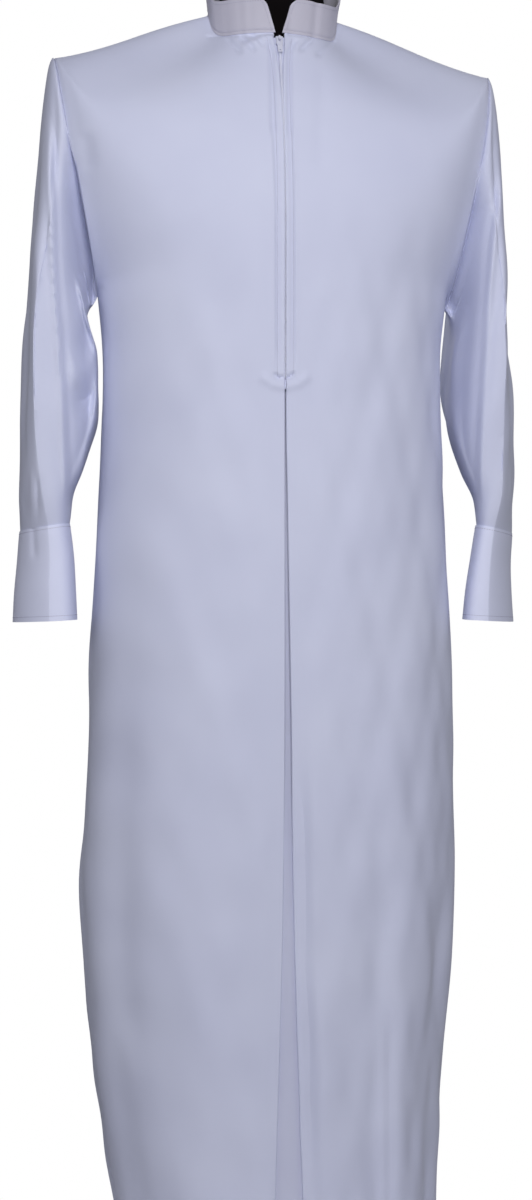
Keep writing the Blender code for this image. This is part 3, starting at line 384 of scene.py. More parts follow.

# %% [markdown]
# ## Fine creases
# Pull folds, pressed edges and gathers are too fine for the rings. They could be painted or
# simulated, but lines drawn one by one land where the photograph has them. Each crease is a line
# of its pixels, pressed into the cloth that faces the camera there. On a line that runs down, a
# positive `depth` stands out, a positive `step` lifts the cloth on the line's left, and a positive
# `fall` lets it fall away on the right. `width` is in millimetres, and `fade` is the pixels that it
# takes to die away.

# %% Creases
Crease = namedtuple("Crease", "piece width depth step fall fade line")
CREASES = [
    # The sleeve on the photograph's left
    Crease("sleeve_right", 2.8, -1.8, 5.0, 1.25, 70,
           [(53, 110), (53, 180), (55, 256), (57, 290), (60, 330), (63.7, 380), (66, 430),
            (68.7, 480), (70.5, 540)]),
    Crease("sleeve_right", 5, 1.2, 0, -0.25, 60, [(40, 140), (37, 250), (36.3, 330), (36, 400), (37, 475)]),
    Crease("sleeve_right", 9, -1.5, 3.0, 0.4, 40, [(66, 170), (67, 210), (74, 250), (84, 300), (98, 346)]),
    Crease("sleeve_right", 13, 0, -13.0, 0, 12, [(66, 388), (80, 386), (92, 378), (110, 362)]),
    Crease("sleeve_right", 2.4, -2.6, 0, 0, 8, [(72, 400), (80, 397), (92, 389), (104, 379)]),
    Crease("sleeve_right", 2.5, -1.8, 0, 0, 16, [(25, 488), (26, 545)]),
    Crease("sleeve_right", 2.5, 1.6, 0, 0, 16, [(32, 465), (31.5, 545)]),
    Crease("sleeve_right", 2.5, -2.2, 1.0, 0, 16, [(38, 472), (37, 545)]),
    Crease("cuff_right", 3.5, -2.2, 0, 0, 12, [(33, 516), (33, 530), (34.5, 562)]),
    # The sleeve on its right
    Crease("sleeve_left", 3, -2.8, -3.4, -1.25, 60,
           [(499, 160), (496, 205), (490, 247), (486, 295), (483.5, 343), (481, 381),
            (478, 440), (476, 478), (474, 540)]),
    # The body
    Crease("front_right", 1.8, -2.0, 0, 0, 4, [(205, 37), (240, 34.8), (276, 33.5)]),
    Crease("front_left", 1.8, -2.0, 0, 0, 4, [(286, 33.5), (305, 35.5), (320, 38), (337, 42)]),
    Crease("front_right", 8, -2.2, 0, 0, 14, [(84, 128), (88, 150), (89, 176)]),
    Crease("front_right", 4.0, 2.2, -2.0, 0, 10, [(277, 34), (262, 37), (246, 43), (238, 47)]),
    Crease("front_right", 3.2, -3.6, 0, 0, 8, [(238, 33), (246, 42), (257, 52)]),
    Crease("front_right", 3.2, -3.0, 0, 0, 8, [(224, 35), (233, 45), (243, 55)]),
    Crease("front_right", 2.6, -2.8, 0, 0, 8, [(247, 33), (257, 38), (266, 48)]),
    Crease("front_right", 3.0, -3.0, 0, 0, 14, [(258, 34), (267, 40), (271, 52), (272, 80), (273, 140)]),
    Crease("front_left", 3.0, -3.0, 0, 0, 14, [(302, 36), (293, 42), (289.5, 52), (289, 80), (289.5, 140)]),
    Crease("front_left", 3.2, -3.4, 0, 0, 8, [(318, 35), (307, 43), (298, 53)]),
    Crease("front_left", 3.2, -2.8, 0, 0, 8, [(336, 40), (326, 48), (314, 58)]),
    Crease("front_right", 2.2, -1.8, 0.8, 0, 40, [(273, 110), (276.5, 200), (277, 380)]),
    Crease("front_left", 2.2, -1.8, -0.8, 0, 40, [(290, 110), (292.5, 200), (293.5, 380)]),
    Crease("front_left", 9, -1.6, 0, 0, 30, [(322, 58), (322, 100), (320, 180)]),
    Crease("front_right", 1.8, -3.0, 0, 0, 3, [(273, 373), (278, 377.5), (290, 378.5)]),
    Crease("front_left", 1.8, -3.0, 0, 0, 3, [(280, 378.5), (289, 377), (295, 372)]),
    Crease("front_right", 5, 1.8, 0, 0, 8, [(258, 374), (272, 384), (290, 388)]),
    Crease("front_left", 5, 1.8, 0, 0, 8, [(280, 388), (298, 384), (312, 373)]),
    Crease("front_left", 10, -1.6, 0, 0, 30, [(300, 420), (312, 450), (322, 500)]),
    Crease("front_left", 9, -3.5, -2.0, 0, 150, [(300, 700), (304, 960), (308, 1060), (316, 1260)]),
    Crease("front_left", 4, -1.4, 1.2, 0, 60, [(388, 1000), (388, 1260)]),
    Crease("front_right", 12, 4.0, 0, 0, 60, [(120, 1000), (134, 1100), (152, 1260)]),
]
print(len(CREASES), "creases on", len({crease.piece for crease in CREASES}), "pieces")

# %% [markdown]
# ## Pressing a crease
# A crease has a smooth section, so light rolls over it as it does over cloth. A sharp edge would
# look like paper. The nearest point of each line gives a vertex its distance and its side, and the
# height is a bell for `depth`, an S for `step` and a slope that levels out for `fall`.

# %% Pressing a crease
FALL_REACH, FACING_GAIN = 38, 1.8


def ease(t):
    t = np.clip(t, 0, 1)
    return t * t * (3 - 2 * t)


def crease_height(piece, points, normals):
    """How far a piece's creases move its points towards the camera.

    Beside a line the cloth can step, and past it, on one side, it can fall away.
    """
    column, row = photo_pixels(points)
    height = np.zeros(column.shape)
    for crease in CREASES:
        if crease.piece != piece:
            continue
        line = np.array(crease.line, float)
        reach = np.concatenate([[0], np.cumsum(np.linalg.norm(np.diff(line, axis=0), axis=1))])
        nearest, side, place = (np.full(column.shape, value) for value in (1e9, 0.0, 0.0))
        for start, end, first, last in zip(line, line[1:], reach, reach[1:]):
            way = end - start
            along = ((column - start[0]) * way[0] + (row - start[1]) * way[1]) / (way @ way)
            along = np.clip(along, 0, 1)
            off_x = column - start[0] - along * way[0]
            off_y = row - start[1] - along * way[1]
            away = np.hypot(off_x, off_y) * PIXEL
            hand = np.sign(way[1] * off_x - way[0] * off_y)
            closer = away < nearest
            nearest = np.where(closer, away, nearest)
            side = np.where(closer, hand, side)
            place = np.where(closer, first + along * (last - first), place)
        share = nearest / crease.width
        fade = ease(place / crease.fade) * ease((reach[-1] - place) / crease.fade)
        height += fade * crease.depth * np.exp(-(share**2))
        height -= fade * crease.step * side * share * np.exp(-(share**2) / 3)
        falling = np.maximum(side * math.copysign(1, crease.fall), 0) * FALL_REACH
        height -= fade * abs(crease.fall) * falling * np.tanh(nearest / FALL_REACH)
    return height * ease((normals @ TOWARD) * FACING_GAIN)


print("half way along, ease gives", float(ease(0.5)))

# %% [markdown]
# ## Shoulder and armhole
# The shoulder seam slopes, with a slight rise by the neck and a dip before its point. The armhole
# is a leaning oval. Straight lines between the tables' rows would show as flat bands, so a Hermite
# curve reads between them, and the two seams are short formulas.


# %% Shoulder and armhole
def read_between(places, values, at):
    """Values of a table read between its rows, on a smooth curve through them."""
    places, values = np.asarray(places, float), np.asarray(values, float)
    slopes = np.gradient(values, places)
    at = np.asarray(at, float)
    i = np.clip(np.searchsorted(places, at, side="right") - 1, 0, len(places) - 2)
    step = places[i + 1] - places[i]
    t = np.clip((at - places[i]) / step, 0, 1)
    rising = values[i] * (1 + 2 * t) * (1 - t) ** 2 + step * slopes[i] * t * (1 - t) ** 2
    falling = values[i + 1] * t**2 * (3 - 2 * t) + step * slopes[i + 1] * t**2 * (t - 1)
    return rising + falling


def shoulder_seam(share):
    x = NECK_HALF_WIDTH + (SHOULDER_HALF_WIDTH - NECK_HALF_WIDTH) * share
    z = NECK_SIDE_Z + (SHOULDER_Z - NECK_SIDE_Z) * share
    z += SHOULDER_BULGE * math.sin(math.pi * share) - SHOULDER_DIP * math.sin(math.pi * share**2)
    return x, SHOULDER_Y * share, z


def armhole(angle):
    turned = math.radians(angle)
    middle_x = (SHOULDER_HALF_WIDTH + UNDERARM_HALF_WIDTH) / 2
    middle_z = (SHOULDER_Z + UNDERARM_Z) / 2
    share = math.cos(turned)
    steep = share**ARMHOLE_STEEP if share > 0 else share
    x = middle_x + (SHOULDER_HALF_WIDTH - middle_x) * steep
    z = middle_z + (SHOULDER_Z - middle_z) * share
    return x, SHOULDER_Y - ARMHOLE_DEPTH * math.sin(turned), z


def lean(points):
    """Points with the shear that lifts the right shoulder and drops the left one."""
    leaning = np.array(points, float)
    share = ease((leaning[..., 2] - LEAN_FROM) / (LEAN_WHOLE - LEAN_FROM))
    leaning[..., 2] -= LEAN * leaning[..., 0] * share
    return leaning


print("armhole top and bottom:", [round(value) for value in (armhole(0)[2], armhole(180)[2])])

# %% [markdown]
# ## Quarter rings
# The body is made in four quarters, from the centre front or back to the side, because the seams
# lie there. A whole ring would be less work, but its points would not fall on the seams. Each
# quarter ring is part of a rounded box, with its points spaced evenly.

# %% Quarter rings
SPREAD = 1.25
BELOW_ROUNDNESS, BELOW_RISE = 2.4, 1.8
RINGS = YOKE + CHEST + [
    Ring(row.z, row.front_y, row.z, row.back_y, row.z, BELOW_ROUNDNESS, BELOW_RISE) for row in SKIRT
]
POINT_ROW = len(YOKE) - 1
UNDERARM_ROW = POINT_ROW + len(CHEST)
HEM_ROW = len(RINGS) - 1


def ring_value(column, row):
    return float(read_between(range(len(RINGS)), [getattr(ring, column) for ring in RINGS], row))


def half_width(side, z):
    levels = SKIRT[::-1]
    places = [level.z for level in levels] + [UNDERARM_Z]
    widths = [getattr(level, SIDE_NAMES[side]) for level in levels] + [UNDERARM_HALF_WIDTH]
    return float(read_between(places, widths, z))


def edge_of_ring(side, front, row):
    """Where a quarter ring ends, and the angle that it has turned through there."""
    if row <= POINT_ROW:
        share = float(read_between(range(len(YOKE)), [ring.place for ring in YOKE], row))
        return shoulder_seam(share), 90.0
    if row <= UNDERARM_ROW:
        angles = [0] + [ring.place for ring in CHEST]
        angle = float(read_between(range(POINT_ROW, UNDERARM_ROW + 1), angles, row))
        turned = 90.0 - ARMHOLE_TURN * math.sin(math.radians(angle))
        return armhole(angle if front else -angle), turned
    z = ring_value("front_z", row)
    return (half_width(side, z), SHOULDER_Y, z), 90.0


def quarter_ring(side, front, row):
    """Points from the centre front or back to the side, evenly spaced, before any fold."""
    middle_y = ring_value("front_y" if front else "back_y", row)
    middle_z = ring_value("front_z" if front else "back_z", row)
    power = 2 / ring_value("roundness", row)
    rise = ring_value("rise", row)
    (edge_x, edge_y, edge_z), turned = edge_of_ring(side, front, row)
    share = np.linspace(0, 1, DENSE) ** SPREAD
    angle = np.radians(turned) * share
    end = math.radians(turned)
    across = np.sin(angle) ** power / math.sin(end) ** power
    back = (1 - np.cos(angle) ** power) / (1 - max(math.cos(end), 0) ** power)
    x = side * edge_x * across
    y = middle_y + (edge_y - middle_y) * back
    z = middle_z + (edge_z - middle_z) * ease(share**rise)
    points = np.stack([x, y, z], axis=1)
    along = np.concatenate([[0], np.cumsum(np.linalg.norm(np.diff(points, axis=0), axis=1))])
    wanted = np.linspace(0, along[-1], DENSE)
    return np.stack([np.interp(wanted, along, points[:, i]) for i in range(3)], axis=1)


print(len(RINGS), "rings; the hem is", round(half_width(RIGHT, HEM_Z)), "mm wide on the right")

# %% [markdown]
# ## Hanging folds and unevenness
# Real cloth is never an exact roll. One fold formula gives the long folds, and a few slow waves
# make them uneven. Random noise would look like crumpled foil, because cloth bends in long
# stretches. `relaxed` smooths the rows where the rings change their slope.


# %% Hanging folds and unevenness
def normals_of(grid, sign, around=False):
    if around:
        column_way = np.roll(grid, -1, axis=1) - np.roll(grid, 1, axis=1)
    else:
        column_way = np.gradient(grid, axis=1)
    normals = sign * np.cross(column_way, np.gradient(grid, axis=0))
    return normals / np.maximum(np.linalg.norm(normals, axis=2, keepdims=True), 1e-9)


def fold_height(girth, z):
    height = np.zeros(np.broadcast(girth, z).shape)
    for fold in FOLDS:
        away = np.abs(girth - fold.girth)
        away = np.minimum(away, 4 - away)
        strength = ease((fold.top_z - z) / (fold.top_z - fold.full_z))
        height += fold.depth * strength * np.exp(-((away / fold.width) ** 2))
    return height


RELAX_ROUNDS, SEAM_HOLD = 110, 12


def relaxed(grid, rows):
    """Rows eased towards the rows beside them, so that the rings' turns don't show as ridges.

    The column on a seam or armhole stays in place.
    """
    grid = grid.copy()
    held = ease((1 - np.linspace(0, 1, grid.shape[1])) * SEAM_HOLD)[None, :, None]
    share = ((rows[1:-1] - rows[:-2]) / (rows[2:] - rows[:-2]))[:, None, None]
    for _ in range(RELAX_ROUNDS):
        between = grid[:-2] * (1 - share) + grid[2:] * share
        grid[1:-1] += (between - grid[1:-1]) / 2 * held
    return grid


Bump = namedtuple("Bump", "long_x long_z size")
RIPPLES = [Bump(95, 310, 1.3), Bump(61, 190, 0.8), Bump(37, 120, 0.45), Bump(140, 90, 0.7)]
CALM_Z, CALM_OVER, RIPPLE_EDGE = 1330, 250, 6
RIPPLE_TURN, SHIFT_X, SHIFT_Z, DRIFT = 0.7, 1.7, 0.9, 140


def ripple(x, y, z, calm_above=CALM_Z):
    """The slight unevenness of cloth that hangs: a few long waves, calm over the shoulders."""
    height = np.zeros(np.shape(z))
    for i, bump in enumerate(RIPPLES):
        wave = np.sin((x + RIPPLE_TURN * y) / bump.long_x * 2 * math.pi + SHIFT_X * i)
        crossing = np.sin(z / bump.long_z * 2 * math.pi + SHIFT_Z * i + x / DRIFT)
        height += bump.size * wave * crossing
    return height * ease((calm_above - z) / CALM_OVER)


print(len(RIPPLES), "waves, the longest", max(bump.long_z for bump in RIPPLES), "mm")

# %% [markdown]
# ## The body's four quarters
# All the pieces of the body are cut from four surfaces, so that they meet exactly at their seams.
# Modelling each piece by itself would leave gaps. A quarter knows its length along each row, so a
# place on it can be given in millimetres, as on a tape measure, with a depth behind the surface.


# %% Four quarters
class Quarter:
    """A quarter of the body's cloth: its outer surface, with lengths along its rows."""

    def __init__(self, side, front, rows):
        plain = relaxed(np.array([quarter_ring(side, front, row) for row in rows]), rows)
        sign = -side if front else side
        share = np.linspace(0, 1, DENSE)
        girth = side * (share if front else 2 - share)
        height = fold_height(girth[None, :], plain[:, :, 2])
        calm_edges = ease(share * RIPPLE_EDGE) * ease((1 - share) * RIPPLE_EDGE)
        height += ripple(*np.moveaxis(plain, 2, 0)) * calm_edges
        plain_normals = normals_of(plain, sign)
        points = plain + height[:, :, None] * plain_normals
        if front:
            normals = normals_of(points, sign)
            pressed = crease_height("front_" + SIDE_NAMES[side], lean(points), normals)
            points = points + pressed[:, :, None] * TOWARD
        self.points, self.normals = points, normals_of(points, sign)
        steps = np.linalg.norm(np.diff(points, axis=1), axis=2)
        self.along = np.concatenate([np.zeros((len(rows), 1)), np.cumsum(steps, axis=1)], axis=1)
        self.length = self.along[:, -1]

    def at(self, row, places, depths):
        along = self.along[row]
        point = [np.interp(places, along, self.points[row, :, i]) for i in range(3)]
        normal = [np.interp(places, along, self.normals[row, :, i]) for i in range(3)]
        return np.stack(point, axis=1) - np.asarray(depths)[:, None] * np.stack(normal, axis=1)


# Rows are close together over the shoulders and chest, closest by the zip's end
Band = namedtuple("Band", "from_ring to_ring rows_a_ring")
BANDS = [
    Band(0, UNDERARM_ROW, 14),
    Band(UNDERARM_ROW, UNDERARM_ROW + 2, 36),
    Band(UNDERARM_ROW + 2, HEM_ROW, 8),
]
body_rows = np.concatenate(
    [np.arange(b.from_ring, b.to_ring, 1 / b.rows_a_ring) for b in BANDS] + [[HEM_ROW]]
)
quarters = {
    (side, front): Quarter(side, front, body_rows)
    for side in (RIGHT, LEFT)
    for front in (True, False)
}
row_heights = np.array([ring_value("front_z", row) for row in body_rows])
print("body surface:", len(body_rows), "rows of", DENSE, "points in each quarter")

# %% [markdown]
# ## Faces of a wall
# Cloth has a thickness, so each piece is a closed wall: an outer skin, an inner skin and a rim.
# Blender's Solidify could thicken one skin, but turned edges and seams need an inner skin of their
# own. Each face corner is also kept as a row and a column, for the UV map.


# %% Faces of a wall
def wall_faces(rows, columns, around):
    """Faces of a closed wall over two grids, with the row and column of each of their corners."""
    behind = rows * columns
    spans = columns if around else columns - 1
    r, c = np.meshgrid(np.arange(rows - 1), np.arange(spans), indexing="ij")
    r, c = r.ravel(), c.ravel()
    skin_rows = np.stack([r, r, r + 1, r + 1], axis=1)
    skin_columns = np.stack([c, c + 1, c + 1, c], axis=1)
    outside = skin_rows * columns + skin_columns % columns
    parts = [
        (outside, skin_rows, skin_columns),
        (outside[:, ::-1] + behind, skin_rows[:, ::-1], skin_columns[:, ::-1]),
    ]
    edges = [(0, False, False), (rows - 1, False, True)]
    if not around:
        edges += [(0, True, True), (columns - 1, True, False)]
    for edge, upright, flip in edges:
        near = np.arange(rows - 1 if upright else spans)
        moving = np.stack([near + 1, near, near, near + 1], axis=1)
        still = np.full(moving.shape, edge)
        edge_rows, edge_columns = (moving, still) if upright else (still, moving)
        quads = edge_rows * columns + edge_columns % columns + [0, 0, behind, behind]
        turn = slice(None, None, -1) if flip else slice(None)
        parts.append((quads[:, turn], edge_rows[:, turn], edge_columns[:, turn]))
    return [np.concatenate(kind) for kind in zip(*parts)]


print("a wall of 3 by 4 points has", len(wall_faces(3, 4, False)[0]), "faces")

# %% [markdown]
# ## Turning grids into cloth
# Woven cloth has a grain, so its texture has to follow each piece. Unwrapping by hand would have to
# be done again after every change. The grids know their own lengths, so the UV map is measured in
# metres on the flat cloth, u across and v down, and the weave keeps one size on every piece.

# %% Walls
SHARP_ANGLE = 55


def cloth_uv(outer, corner_rows, corner_columns):
    rows, columns = outer.shape[:2]
    across = np.linalg.norm(np.roll(outer, -1, axis=1) - outer, axis=2)
    u = np.concatenate([np.zeros((rows, 1)), np.cumsum(across, axis=1)], axis=1)
    u -= u[:, columns // 2 : columns // 2 + 1]
    down = np.linalg.norm(np.diff(outer, axis=0), axis=2).mean(axis=1)
    v = np.concatenate([[0], np.cumsum(down)])
    return np.stack([u[corner_rows, corner_columns], -v[corner_rows]], axis=2) * MM


def turned_inwards(outer, inner):
    """Whether faces in the grid's own order would point from the outer skin to the inner one."""
    rows, columns = outer.shape[:2]
    row, column = rows // 2, columns // 2
    here = outer[row, column]
    beside, below = outer[row, (column + 1) % columns], outer[min(row + 1, rows - 1), column]
    return np.cross(beside - here, below - here) @ (here - inner[row, column]) < 0


def add_wall(name, outer, inner, around=False):
    """A closed wall between two grids of points in millimetres, with a UV map in metres."""
    outer, inner = lean(outer), lean(inner)
    points = np.concatenate([outer.reshape(-1, 3), inner.reshape(-1, 3)]) * MM
    order = slice(None, None, -1) if turned_inwards(outer, inner) else slice(None)
    faces, corner_rows, corner_columns = (
        kind[:, order] for kind in wall_faces(*outer.shape[:2], around)
    )
    mesh = bpy.data.meshes.new(name)
    mesh.from_pydata(points.tolist(), [], faces.tolist())
    layer = mesh.uv_layers.new(name="cloth")
    layer.data.foreach_set("uv", cloth_uv(outer, corner_rows, corner_columns).ravel())
    mesh.shade_smooth()
    mesh.set_sharp_from_angle(angle=math.radians(SHARP_ANGLE))
    mesh.validate()
    piece = bpy.data.objects.new(name, mesh)
    bpy.context.scene.collection.objects.link(piece)
    return piece


def dress(piece, node, paint):
    """Puts a piece in a node's place, on the node's body, with its material."""
    piece.data.materials.clear()
    piece.data.materials.append(paint)
    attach(piece, BODY)
    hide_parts(node)


print("edges sharper than", SHARP_ANGLE, "degrees stay sharp")

# %% [markdown]
# ## Tones of a finish
# No real surface has one flat colour. A photographed texture would bring its own light and seams,
# so a noise varies colour and roughness a little, and works at any distance. All the finishes below
# share these helpers.


# %% Tones of a finish
def new_material(name):
    made = bpy.data.materials.new(name)
    made.use_nodes = True
    tree = made.node_tree
    tree.nodes.clear()
    shader = add_node(tree, "ShaderNodeBsdfPrincipled")
    add_node(tree, "ShaderNodeOutputMaterial", {"Surface": shader.outputs[0]})
    return made, tree, shader


def vary(tree, shader, noise, tones, spread, roughness, uneven):
    """Colour between two tones, and roughness about a middle value, both read from a noise."""
    ramp = add_node(tree, "ShaderNodeValToRGB", {"Fac": noise.outputs["Fac"]})
    light, shade = tones
    ends = ramp.color_ramp.elements
    ends[0].position, ends[0].color = 0.5 - spread, linear(shade)
    ends[1].position, ends[1].color = 0.5 + spread, linear(light)
    rough = add_node(
        tree, "ShaderNodeMapRange",
        {"Value": noise.outputs["Fac"], "To Min": roughness - uneven, "To Max": roughness + uneven},
    )
    tree.links.new(ramp.outputs["Color"], shader.inputs["Base Color"])
    tree.links.new(rough.outputs["Result"], shader.inputs["Roughness"])


print("made:", new_material.__name__, "and", vary.__name__)

# %% [markdown]
# ## White twill
# Twill is woven so that its threads form a fine diagonal rib. Modelling threads would take millions
# of faces, and a plain white would look like plastic. Two waves on the UV map, one across the
# other, bump the surface, and broad soft dents lie under them. Waves repeat about every half
# millimetre, as the ribs of a light twill do.

# %% White twill
Thread = namedtuple("Thread", "angle size")
WEAVE = [Thread(58, 1.0), Thread(-20, 0.6)]
CROSS_SHARE = 0.3
TWILL_RIB = 0.0009


def twill(name, *tones, rib=TWILL_RIB, rib_height=0.00006, dents=0.0006, roughness=0.62):
    """Woven twill: a diagonal rib crossed by a finer thread, over broad soft dents."""
    made, tree, shader = new_material(name)
    uv = add_node(tree, "ShaderNodeUVMap", uv_map="cloth")
    place = add_node(tree, "ShaderNodeTexCoord")
    broad, soft = (
        add_node(
            tree, "ShaderNodeTexNoise",
            {"Vector": place.outputs["Object"], "Scale": scale, "Detail": 3.0, "Roughness": rough},
        )
        for scale, rough in ((7.0, 0.5), (26.0, 0.45))
    )
    vary(tree, shader, broad, tones, 0.2, roughness, 0.06)
    waves = []
    for yarn in WEAVE:
        scale = 1 / (rib * yarn.size)
        turned_uv = add_node(
            tree, "ShaderNodeMapping",
            {"Vector": uv.outputs["UV"], "Rotation": (0, 0, math.radians(yarn.angle)),
             "Scale": (scale, scale, 1)},
        )
        wave = add_node(
            tree, "ShaderNodeTexWave",
            {"Vector": turned_uv.outputs["Vector"], "Scale": 0.5, "Distortion": 0.6,
             "Detail": 1.0, "Detail Scale": 0.4},
        )
        waves.append(wave.outputs["Fac"])
    mixed = add_node(
        tree, "ShaderNodeMix", {0: CROSS_SHARE, 2: waves[0], 3: waves[1]}, data_type="FLOAT"
    )
    weave = add_node(
        tree, "ShaderNodeBump",
        {"Distance": rib_height, "Strength": 0.5, "Height": mixed.outputs[0]},
    )
    dented = add_node(
        tree, "ShaderNodeBump",
        {"Distance": dents, "Strength": 0.6, "Height": soft.outputs["Fac"],
         "Normal": weave.outputs["Normal"]},
    )
    tree.links.new(dented.outputs["Normal"], shader.inputs["Normal"])
    shader.inputs["Sheen Weight"].default_value = 0.15
    shader.inputs["Sheen Roughness"].default_value = 0.45
    shader.inputs["Specular IOR Level"].default_value = 0.3
    return made


white_twill = twill("white_polyester_twill", "#D6DAF0", "#CFD3EB")
# The collar's darker, warmer tone is painted shade, as its flare faces down from the lamp.
collar_twill_painted_shade = twill("white_twill_interfaced_painted_shade", "#C7C5D4", "#C0BECD", dents=0.0004, roughness=0.58)
# The underlay's slightly darker tone is painted shade, for a strip set back behind the fronts.
underlay_twill_painted_shade = twill("white_twill_underlay_painted_shade", "#D0D3E9", "#C9CCE4")
# The cuffs' lighter tone is painted light, brighter than the same cloth on the sleeves.
cuff_twill_painted_light = twill("white_twill_cuff_painted_light", "#E3E7FF", "#DCE0F7", dents=0.0003, roughness=0.58)
# The tape's light tone is painted light, against the shade in the gap between the fronts.
tape_weave_painted_light = twill("woven_zip_tape_painted_light", "#DEE1F5", "#D5D8EE", rib=0.0006, dents=0.0)
print("waves turned by", [yarn.angle for yarn in WEAVE], "degrees")

# %% [markdown]
# ## Thread, plastic, enamel, jersey and powder coat
# The other finishes have no weave that can be seen from here. Each could be a material of its own,
# but they differ only in tone, shine and grain, so one function makes them all. A knit's fuzz traps
# the light, so the jersey's index of refraction is lower than that of its fibres.


# %% Plain finishes
def plain_finish(name, *tones, roughness, scale, bump, metallic=0.0, ior=1.5):
    """A painted, moulded or knitted finish: two close tones and a fine bump."""
    made, tree, shader = new_material(name)
    place = add_node(tree, "ShaderNodeTexCoord")
    noise = add_node(
        tree, "ShaderNodeTexNoise", {"Vector": place.outputs["Object"], "Scale": scale, "Detail": 4.0}
    )
    vary(tree, shader, noise, tones, 0.15, roughness, 0.05)
    raised = add_node(
        tree, "ShaderNodeBump",
        {"Distance": bump, "Strength": 0.5, "Height": noise.outputs["Fac"]},
    )
    tree.links.new(raised.outputs["Normal"], shader.inputs["Normal"])
    shader.inputs["Metallic"].default_value = metallic
    shader.inputs["IOR"].default_value = ior
    return made


# The thread's grey is painted shade, for the shadows in the stitch holes.
thread = plain_finish(
    "polyester_thread_painted_shade", "#ABA9BE", "#A09EB4", roughness=0.5, scale=900, bump=0.00005
)
# The coil's very light tone is painted light, against the shade between its teeth.
coil_plastic_painted_light = plain_finish(
    "moulded_zip_coil_painted_light", "#F0F2FF", "#E6E9FC", roughness=0.38, scale=400, bump=0.00003
)
white_enamel = plain_finish(
    "white_zip_enamel", "#DADCEC", "#CFD1E4", roughness=0.3, scale=250, bump=0.00004
)
black_jersey = plain_finish(
    "black_cotton_jersey", "#0C0709", "#070506", roughness=0.95, scale=1600, bump=0.00012, ior=1.22
)
black_powder = plain_finish(
    "black_powder_coat", "#1C1C1F", "#141416",
    roughness=0.42, scale=1400, bump=0.00006, metallic=0.2,
)
print(len(bpy.data.materials), "materials")

# %% [markdown]
# ## Front panels
# Each front is one panel from the shoulder seam to the hem. Its centre edge turns under in a round
# fold, beside the zip and on down the pleat. Two flat sheets with a bevel would be quicker, but the
# fold's round edge is what catches the light. So each row's cross-section is drawn as a path: the
# turned-under part, the half circle of the fold, then the face, with columns closest by the fold.

# %% Front panels
FACE_COLUMNS, FOLD_STEPS, CLOSER = 88, 10, 1.6
RETURN_EASE = 20


def front_gap(side, z):
    gaps = [getattr(gap, SIDE_NAMES[side]) for gap in FRONT_GAP]
    return float(read_between([gap.z for gap in FRONT_GAP], gaps, z))


def front_path(side, length, z, inner):
    """One front's cross-section from the end of its turned-under edge to the side seam."""
    bend = front_gap(side, z) + FOLD_RADIUS
    share = float(ease((z - UNDERLAY_TOP_Z + RETURN_EASE) / (2 * RETURN_EASE)))
    under = PLEAT_RETURN + (ZIP_ALLOWANCE - PLEAT_RETURN) * share
    radius = FOLD_RADIUS - CLOTH if inner else FOLD_RADIUS
    turned = np.radians(np.linspace(180, 0, FOLD_STEPS + 1))
    places = [bend + under, bend + under / 2]
    depths = [FOLD_RADIUS + radius] * 2
    places += list(bend - radius * np.sin(turned))
    depths += list(FOLD_RADIUS - radius * np.cos(turned))
    face = bend + (length - SEAM_GAP / 2 - bend) * np.linspace(0, 1, FACE_COLUMNS + 1)[1:] ** CLOSER
    return np.array(places + list(face)), np.array(depths + [FOLD_RADIUS - radius] * len(face))


for side in (RIGHT, LEFT):
    quarter = quarters[side, True]
    grids = []
    for inner in (False, True):
        path = [front_path(side, quarter.length[i], z, inner) for i, z in enumerate(row_heights)]
        grids.append(np.array([quarter.at(i, *line) for i, line in enumerate(path)]))
    front = add_wall("front_" + SIDE_NAMES[side] + "_cloth", *grids)
    dress(front, "front_" + SIDE_NAMES[side], white_twill)
print("each front:", len(front.data.polygons), "faces")

# %% [markdown]
# ## Back panel
# The back is one piece, so its two quarters are joined at the centre with a shared column. Mirroring
# one half would be simpler, but the two sides hang differently.

# %% Back panel
BACK_COLUMNS = 50
back_grids = []
for depth in (0, CLOTH):
    grid = []
    for i in range(len(body_rows)):
        halves = {}
        for side in (RIGHT, LEFT):
            quarter = quarters[side, False]
            places = np.linspace(0, quarter.length[i] - SEAM_GAP / 2, BACK_COLUMNS + 1)
            halves[side] = quarter.at(i, places, np.full(len(places), depth))
        middle = (halves[RIGHT][:1] + halves[LEFT][:1]) / 2
        grid.append(np.concatenate([halves[RIGHT][:0:-1], middle, halves[LEFT][1:]]))
    back_grids.append(np.array(grid))
back = add_wall("back_cloth", *back_grids)
dress(back, "back", white_twill)
print("back:", len(back.data.polygons), "faces")

# %% [markdown]
# ## Pleat underlay
# Below the zip the two folded edges part over a strip of the same cloth, the pleat's underlay. It
# could be one flat rectangle, but the fronts curve and would poke through it. So it is laid at a
# depth behind the fronts, and deeper where they meet, so that their line is a shadow.

# %% Pleat underlay
SUNK, SUNK_FROM_Z, SUNK_OVER = 4, 560, 150
UNDERLAY_COLUMNS = 12


def strip_grids(top_z, low_z, half, depths, columns, sunk=0):
    """Grids behind both fronts, across the centre, from a top height down to a low one."""
    chosen = [i for i, z in enumerate(row_heights) if low_z <= z <= top_z]
    grids = []
    for depth in depths:
        grid = []
        for i in chosen:
            places = np.linspace(0, half, columns + 1)
            sinking = ease((row_heights[i] - SUNK_FROM_Z) / SUNK_OVER)
            deep = np.full(len(places), depth + sunk * sinking)
            sides = [quarters[side, True].at(i, places, deep) for side in (RIGHT, LEFT)]
            middle = (sides[0][:1] + sides[1][:1]) / 2
            grid.append(np.concatenate([sides[0][:0:-1], middle, sides[1][1:]]))
        grids.append(np.array(grid))
    return grids


